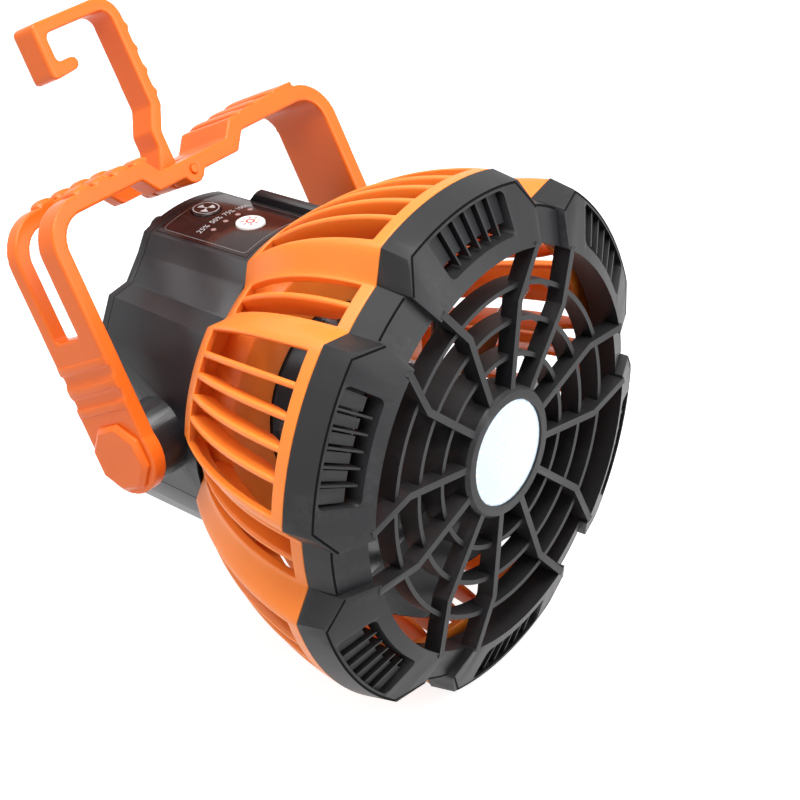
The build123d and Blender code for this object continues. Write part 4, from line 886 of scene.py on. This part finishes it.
# %% Knuckles and step crests
BAR_TOP, RAILS, WHOLE_BAR = 81.0, ((-12.4, -4.7), (7.6, 12.4)), (-12.5, 12.5)
knuckles = []
for x, half, high in ((-30.0, 3.9, 1.9), (-38.6, 3.9, 1.9), (-47.2, 3.9, 1.9), (-21.4, 3.4, 1.5)):
    knuckles += [knuckle(x, half, high, *rail, BAR_TOP) for rail in RAILS]
for x, rise in ((26.8, 0.1), (35.8, 0.7), (44.8, 1.3)):
    knuckles.append(knuckle(x, 3.0, 1.15, *WHOLE_BAR, BAR_TOP + rise))
print("knuckles and crests:", len(knuckles))

# %% Ridges on the arms
ARM_FACE_X, ARM_HALF = 67.5, 12.3


def arm_ridge(side, height, half=1.5, high=0.55, count=13):
    """Low half-ellipse across an arm's outer face: the knuckle's form, turned to stand out along X."""
    t = np.linspace(0, pi, 11)
    across = np.linspace(-1, 1, count)
    size = np.clip(1 - across ** 8, 0.0, 1) ** 0.5 * 0.9 + 0.1
    ring_z = np.concatenate([np.cos(t), [-0.9, 0.9]]) * half
    ring_x = np.concatenate([np.sin(t) * high, [-0.6, -0.6]])
    out = np.where(ring_x > 0, ring_x * size[:, None], ring_x)
    y = across * ARM_HALF
    grid = np.stack([side * (ARM_FACE_X + out), np.broadcast_to(y[:, None], out.shape),
                     height + np.broadcast_to(ring_z, out.shape)], -1)
    return sweep(leant(grid if side > 0 else grid[:, ::-1]))


knuckles += [arm_ridge(side, height) for side in (-1, 1) for height in (31.4, 23.9, 16.6)]
piece("bail_grips", join(*knuckles), "handle", slot="orange_plastic", smooth=50)

# %% [markdown]
# ## The control panel
# Two round buttons sit in the smoked panel, one marked with a fan and one with a lamp, and four
# small lights show the battery's charge with a mark beside each. The marks are printed: thin shapes
# laid on the crowned panel, whose height above any X is a circle's.

# %% Crown of the panel
CROWN_TOP, CROWN_R, INK_LIFT = 54.4, 59.19, 0.03


def crown(x):
    """Height of the crowned panel over X: a circle's, through the highest point in the middle."""
    return CROWN_TOP - CROWN_R + np.sqrt(CROWN_R ** 2 - np.asarray(x, float) ** 2)


def printed(name, shapes, finish, slot, body="head", height=None):
    """Flat marks from (X, Y) outlines: each outline is a fan of faces laid on the crown or at a height."""
    points, faces, start = [], [], 0
    for outline_xy in shapes:
        outline_xy = np.asarray(outline_xy, float)
        centre_xy = outline_xy.mean(0, keepdims=True)
        flat = np.concatenate([outline_xy, centre_xy])
        z = (crown(flat[:, 0]) if height is None else np.full(len(flat), height)) + INK_LIFT
        count = len(outline_xy)
        index = np.arange(count)
        faces.append(np.stack([index, np.roll(index, -1), np.full(count, count), np.full(count, count)], -1) + start)
        points.append(np.column_stack([flat, z]))
        start += count + 1
    thing = piece(name, (np.concatenate(points), np.concatenate(faces)), body, slot=slot, merge=0.001)
    own_finish(thing, finish)


# %% Inks
def ink(name, colour, roughness=0.4):
    """Printed ink: a plain colour with the flow group's faint drift and the grain's roughness."""
    made = bpy.data.materials.new(name)
    made.use_nodes = True
    tree = made.node_tree
    tone = node(tree, "Group", node_tree=flow, in_Span=300.0)
    tone.inputs["Colour"].default_value = (*colour, 1)
    tone.inputs["Shade"].default_value = (*(c * 0.85 for c in colour), 1)
    skin = node(tree, "Group", node_tree=grain, in_Grain_Size=0.2, in_Height=0.1, in_Wander=0.1,
                in_Roughness=roughness)
    tree.links.new(tone.outputs["Colour"], tree.nodes["Principled BSDF"].inputs["Base Color"])
    tree.links.new(skin.outputs["Roughness"], tree.nodes["Principled BSDF"].inputs["Roughness"])
    return made


white_ink, red_ink = ink("white ink", (0.5, 0.48, 0.48)), ink("red ink", (0.75, 0.05, 0.03))
grey_ink = ink("grey ink", (0.16, 0.15, 0.15))

# %% Shapes of the marks
def between(inner, outer):
    """Four-cornered outlines between two rows of points, one for each step along them."""
    return list(np.stack([inner[:-1], outer[:-1], outer[1:], inner[1:]], 1))


def ring_marks(centre, inner, outer, count=48):
    """Four-cornered outlines of a flat ring."""
    a = np.linspace(0, 2 * pi, count + 1)
    unit = np.stack([np.cos(a), np.sin(a)], -1)
    return between(unit * inner + centre, unit * outer + centre)


def petal(centre, degrees_round, near, far, open_angle=27, count=8):
    """One blade of the fan mark: a sector with a round outer edge."""
    a = np.radians(degrees_round + np.linspace(-open_angle, open_angle, count))
    rim = np.stack([np.cos(a), np.sin(a)], -1) * far
    root = np.array([[cos(radians(degrees_round)), sin(radians(degrees_round))]]) * near
    return np.concatenate([root, rim]) + centre


def lamp_ray(centre, degrees_round, near=2.05, far=3.3, half=0.27):
    """One ray of the lamp mark: a bar from near to far along a direction."""
    a = radians(degrees_round)
    along, across = np.array([cos(a), sin(a)]), np.array([-sin(a), cos(a)]) * half
    return np.array([along * near - across, along * far - across, along * far + across, along * near + across]) + centre


# %% Marks on the buttons
BUTTON_TOP, FAN_BUTTON_Y, LIGHT_BUTTON_Y = 55.1, 119.2, 99.9
fan_middle, lamp_middle = np.array([0.0, FAN_BUTTON_Y]), np.array([0.0, LIGHT_BUTTON_Y])
fan_rings = ring_marks(fan_middle, 4.1, 4.42) + ring_marks(fan_middle, 0.0, 0.5, 12)
printed("fan_mark", fan_rings + [petal(fan_middle, a, 0.6, 3.0) for a in (90, 210, 330)], white_ink,
        "panel_gloss", "fan_button", BUTTON_TOP)
printed("lamp_mark", ring_marks(lamp_middle, 0.9, 1.55, 32) + [lamp_ray(lamp_middle, 45.0 * k) for k in range(8)],
        red_ink, "button_white", "light_button", BUTTON_TOP)

# %% Line round the panel
LINE_X, LINE_NEAR_Y, LINE_FAR_Y, LINE_CORNER, LINE_WIDE = 15.4, 88.9, 124.7, 1.8, 0.25


def border(inset, longest=5.0, parts=12):
    """Closed round-cornered path on the panel; a side over a length is cut into equal parts for the crown."""
    high = LINE_FAR_Y - LINE_NEAR_Y
    path = rounded(2 * (LINE_X - inset), high - 2 * inset, LINE_CORNER - inset, 6)
    path = np.concatenate([path, path[:1]]) + (0, (LINE_NEAR_Y + LINE_FAR_Y) / 2)
    step = np.diff(path, axis=0)
    count = np.where(np.linalg.norm(step, axis=1) > longest, parts, 1)
    side = np.repeat(np.arange(len(step)), count)
    share = (np.arange(len(side)) - np.repeat(np.cumsum(count) - count, count)) / count[side]
    return np.concatenate([path[side] + step[side] * share[:, None], path[-1:]])


printed("panel_border", between(border(LINE_WIDE), border(0.0)), grey_ink, "panel_gloss")

# %% Charge marks
MARK_HIGH, MARK_LIFT, MARK_Y = 2.1, 0.04, 110.5
FONT_SIZE_PER_HEIGHT = 1.38


def word(text, x, y):
    """Printed number: a text made into a mesh, laid at a place on the crown, reading along +X."""
    curve = bpy.data.curves.new(text, "FONT")
    curve.body, curve.size, curve.align_x = text, MARK_HIGH * FONT_SIZE_PER_HEIGHT, "CENTER"
    curve.space_character = 1.05
    holder = bpy.data.objects.new("mark_" + text.strip("%"), curve)
    bpy.context.collection.objects.link(holder)
    bpy.context.view_layer.update()
    mesh = bpy.data.meshes.new_from_object(holder)
    bpy.data.objects.remove(holder)
    spots = np.zeros(len(mesh.vertices) * 3)
    mesh.vertices.foreach_get("co", spots)
    flat = spots.reshape(-1, 3)[:, :2] + (x, y)
    placed = to_scene(np.column_stack([flat, crown(flat[:, 0]) + MARK_LIFT]))
    mesh.vertices.foreach_set("co", placed.ravel())
    mesh.update()
    mesh.materials.clear()
    thing = bpy.data.objects.new("mark_" + text.strip("%"), mesh)
    bpy.context.collection.objects.link(thing)
    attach(thing, "head")
    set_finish(thing, "panel_gloss")
    own_finish(thing, white_ink)
    pieces_made.append(thing)


for x, text in zip((-10.2, -3.9, 2.4, 9.2), ("25%", "50%", "75%", "100%")):
    word(text, x, MARK_Y)
print("marks beside the charge lights:", sum(thing.name.startswith("mark_") for thing in pieces_made))

# %% [markdown]
# The buttons are turned shapes: a flat top with a soft shoulder, over a stem. Each replaces its
# solid, stem and all.

# %% Buttons
BUTTON_R = 4.9


def turned_upright(profile, x, y, count):
    """(points, faces) of a closed (radius, Z) profile turned about a line along Z at (x, y)."""
    profile = np.asarray(profile, float)
    a = np.linspace(0, 2 * pi, count, endpoint=False)
    grid = np.stack([x + profile[:, :1] * np.cos(a), y + profile[:, :1] * np.sin(a),
                     np.broadcast_to(profile[:, 1:], (len(profile), count))], -1)
    return grid.reshape(-1, 3), grid_quads(len(profile), count, 0, True).reshape(-1, 4)


button_profile = [(0.0, BUTTON_TOP), (2.2, BUTTON_TOP), (3.6, BUTTON_TOP), (4.1, BUTTON_TOP), (4.5, 55.02),
                  (4.78, 54.8), (BUTTON_R, 54.45), (BUTTON_R, 51.8), (3.2, 51.8), (3.2, 48.4), (0.0, 48.4)]
for node_name, y, slot in (("fan_button", FAN_BUTTON_Y, "panel_gloss"),
                           ("light_button", LIGHT_BUTTON_Y, "button_white")):
    piece(node_name + "_cap", turned_upright(button_profile, 0.0, y, 64), node_name, [node_name], slot, smooth=30)

# %% [markdown]
# ## The lamp
# The lens bulges a little and is moulded in one with a lip. Its bulge is an arc of an ellipse: the
# radius follows the sine of an angle, and the height its cosine.

# %% Lens
LENS_R, LENS_BULGE, LENS_TURN = 17.4, 1.8, 1.35
angle = np.linspace(0, 1, 13) * LENS_TURN
dome = np.stack([LENS_R * np.sin(angle) / sin(LENS_TURN),
                 -LENS_BULGE * (1 - (1 - np.cos(angle)) / (1 - cos(LENS_TURN)))], -1)
lip_and_back = [(17.2, -0.15), (LENS_R, 0.1), (LENS_R, 3.8), (15.8, 3.8), (15.6, 1.6), (9.0, 0.6), (0.0, 0.2)]
lens_profile = np.concatenate([[(0.0, -LENS_BULGE)], dome[1:-1], lip_and_back])
lens_grid = polar(lens_profile[:, :1], np.linspace(0, 360, 96, endpoint=False)[None, :], lens_profile[:, 1:])
lens_faces = grid_quads(len(lens_profile), 96, 0, True).reshape(-1, 4)
piece("lamp_dome", (lens_grid.reshape(-1, 3), lens_faces), "head", ["lamp_lens"], "lens", smooth=40)

# %% [markdown]
# ## Screws of the rear cover
# A small pan-head screw has a domed head with a cross in it. The head is a turned profile, and the
# cross is a pair of dark bars let into its top: painted shade, which reads as the recess at this size.

# %% A screw's head and its cross
HEAD_R, HEAD_RISE, HEAD_DEEP = 2.5, 1.1, 3.0


def screw_head(x, z, top):
    """Dome turned about a line along Y at (x, z): it falls with the power 2.6 of the radius."""
    share = np.linspace(0, 1, 8)
    dome = np.stack([share * HEAD_R, top - HEAD_RISE * share ** 2.6], -1)
    profile = np.concatenate([dome, [(HEAD_R, top - HEAD_DEEP), (0.0, top - HEAD_DEEP)]])
    points, faces = turned_upright(profile, x, z, 40)
    return points[:, [0, 2, 1]], faces


def bar(x, z, top, turn, length=3.0, width=0.55):
    """Thin box on a head's top, turned about the screw's line."""
    a, flat = radians(turn), rounded(width, 0.5, 0.1, 2)
    rings = [np.stack([x + s * cos(a) - flat[:, 0] * sin(a), top - 0.22 + flat[:, 1],
                       z + s * sin(a) + flat[:, 0] * cos(a)], -1) for s in (-length / 2, length / 2)]
    return sweep(np.stack(rings))


# %% Cover screws
head_top = float(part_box("cover_screws")[1][1]) * 1000 + SEAT[1]
spots = [(side * x, z) for x, z in ((33.0, 29.0), (38.0, -26.0)) for side in (-1, 1)]
piece("cover_screw_heads", join(*[screw_head(x, z, head_top) for x, z in spots]), "head", ["cover_screws"], "steel",
      smooth=50)
bars = [bar(x, z, head_top, 20 + 37 * k + 90 * t) for k, (x, z) in enumerate(spots) for t in (0, 1)]
# the crosses are painted shade where the recesses' shadow lies
own_finish(piece("cover_screw_cross_shade", join(*bars), "head", slot="steel"), painted_shade)
print("screw heads reach Y", round(head_top, 2))

# %% [markdown]
# ## The seam behind the shell
# Where the housing leaves the shell there is a shadow gap. A thin dark band paints that shadow: the housing's
# own section, a crowned top with stepped shoulders, flanks and a keel, drawn as a band just outside.

# %% Seam round the housing
HALF_SECTION = np.array([(18.3, 51.5), (22.2, 45.4), (32.0, 37.6), (41.4, 36.4), (48.6, 24.0), (52.0, 9.0),
                         (51.8, -8.0), (49.6, -22.0), (47.0, -29.0), (38.5, -39.5), (22.0, -45.5)])


def section_loop(grow):
    """Closed (X, Z) loop of the housing's section moved outwards along its own normals."""
    arc_x = np.linspace(-HALF_SECTION[0, 0], HALF_SECTION[0, 0], 15)
    arc = np.stack([arc_x, crown(arc_x)], -1)
    loop = np.concatenate([arc, HALF_SECTION[1:], (HALF_SECTION * (-1, 1))[1:][::-1]])
    ahead = np.roll(loop, -1, 0) - np.roll(loop, 1, 0)
    ahead /= np.linalg.norm(ahead, axis=1, keepdims=True)
    return loop + np.stack([-ahead[:, 1], ahead[:, 0]], -1) * grow


def band(front_y, back_y, inner, outer):
    """Solid band between two loops and two depths: a closed ring of four-cornered sections."""
    rings = []
    for grow, y in ((inner, front_y), (outer, front_y), (outer, back_y), (inner, back_y), (inner, front_y)):
        loop = section_loop(grow)
        rings.append(np.stack([loop[:, 0], np.full(len(loop), y), loop[:, 1]], -1))
    return np.concatenate(rings), grid_quads(len(rings), len(rings[0]), 0, True).reshape(-1, 4)


# the dark band is painted shadow in the gap between housing and shell
own_finish(piece("housing_seam_shadow", band(REAR + 0.02, REAR + 0.7, -0.5, 0.55), "head", slot="foot_rubber"), painted_shade)

# %% [markdown]
# ## Putting the finishes on
# Every visible part, from the frame or new, takes the finish of its material slot. The bail, the
# hook and what belongs to them take the deeper orange, which is painted shade. The charge lights are
# off, so they show as dim windows.

# %% Finishes on the parts
replaced = {n for thing in pieces_made for n in thing.get("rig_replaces", [])}
for name, part in frame["nodes"].items():
    if name not in replaced:
        part.data.materials.clear()
        part.data.materials.append(finishes[slot_of[name]])
for thing in pieces_made:
    if not thing.get("own_finish"):
        thing.data.materials.clear()
        thing.data.materials.append(finishes[thing["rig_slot"]])
# the bail's parts take the darker orange, which is painted shade
for thing in pieces_made:
    if thing["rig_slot"] == "orange_plastic" and thing.name != "louvred_shell":
        thing.data.materials[0] = finishes["bail_shaded_orange"]
dim_window = ink("dim window", (0.34, 0.22, 0.2), 0.25)
frame["nodes"]["battery_lights"].data.materials[0] = dim_window
print("new pieces:", len(pieces_made))

# %% [markdown]
# ## A plain studio
# Large soft lamps and an even white world light the fan at a plain level. The world and the floor
# are brighter for the camera and in reflections than as lamps, so the background is clean and the
# light on the fan stays soft.

# %% World
WORLD_LIGHT, WORLD_SEEN = 0.35, 1.0
scene = bpy.context.scene
scene.view_settings.view_transform = "Standard"
world = bpy.data.worlds.new("studio")
scene.world = world
world.use_nodes = True
tree = world.node_tree
sky = tree.nodes["Background"]
ray = node(tree, "LightPath")
through = node(tree, "Math", [(0, ray.outputs["Is Camera Ray"]), (1, ray.outputs["Is Transmission Ray"])],
               operation="MAXIMUM")
seen = node(tree, "Math", [(0, through.outputs[0]), (1, ray.outputs["Is Glossy Ray"])], operation="MAXIMUM")
level = node(tree, "MapRange", [("Value", seen.outputs[0])], in_3=WORLD_LIGHT, in_4=WORLD_SEEN)
tree.links.new(level.outputs[0], sky.inputs["Strength"])
sky.inputs["Color"].default_value = (1, 1, 1, 1)

# %% Floor
HALF_FLOOR, FLOOR_GAP, FLOOR_SEEN = 6.0, 0.002, 0.8
floor_mesh = bpy.data.meshes.new("floor")
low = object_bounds()[0][2] - FLOOR_GAP
floor_mesh.from_pydata([(x * HALF_FLOOR, y * HALF_FLOOR, low) for x, y in ((-1, -1), (1, -1), (1, 1), (-1, 1))],
                       [], [(0, 1, 2, 3)])
floor = bpy.data.objects.new("floor", floor_mesh)
bpy.context.collection.objects.link(floor)
ground = bpy.data.materials.new("floor")
ground.use_nodes = True
tree = ground.node_tree
shader = tree.nodes["Principled BSDF"]
shader.inputs["Base Color"].default_value = (0.5, 0.5, 0.5, 1)
shader.inputs["Roughness"].default_value = 0.8
ray = node(tree, "LightPath")
seen = node(tree, "Math", [(0, ray.outputs["Is Camera Ray"]), (1, ray.outputs["Is Glossy Ray"])], operation="MAXIMUM")
level = node(tree, "MapRange", [("Value", seen.outputs[0])], in_3=0.0, in_4=FLOOR_SEEN)
tree.links.new(level.outputs[0], shader.inputs["Emission Strength"])
shader.inputs["Emission Color"].default_value = (1, 1, 1, 1)
floor_mesh.materials.append(ground)

# %% Lamps
def softbox(name, place, aim, size, power):
    """Square lamp that faces a point; both are given in fan millimetres."""
    data = bpy.data.lights.new(name, "AREA")
    data.shape, data.size, data.energy = "SQUARE", size, power
    lamp = bpy.data.objects.new(name, data)
    lamp.location = Vector(to_scene(place))
    lamp.rotation_euler = (lamp.location - Vector(to_scene(aim))).to_track_quat("Z", "Y").to_euler()
    bpy.context.collection.objects.link(lamp)
    print("lamp", name, power, "W")


softbox("key", (-60, -200, 1000), (0, 40, 0), 0.6, 14)
softbox("back", (-300, 650, 850), (0, 80, 0), 0.6, 4)
softbox("front", (350, -900, 350), (0, 0, 0), 0.7, 7.0)
softbox("side", (-900, -50, 250), (0, 60, 0), 0.6, 1.3)
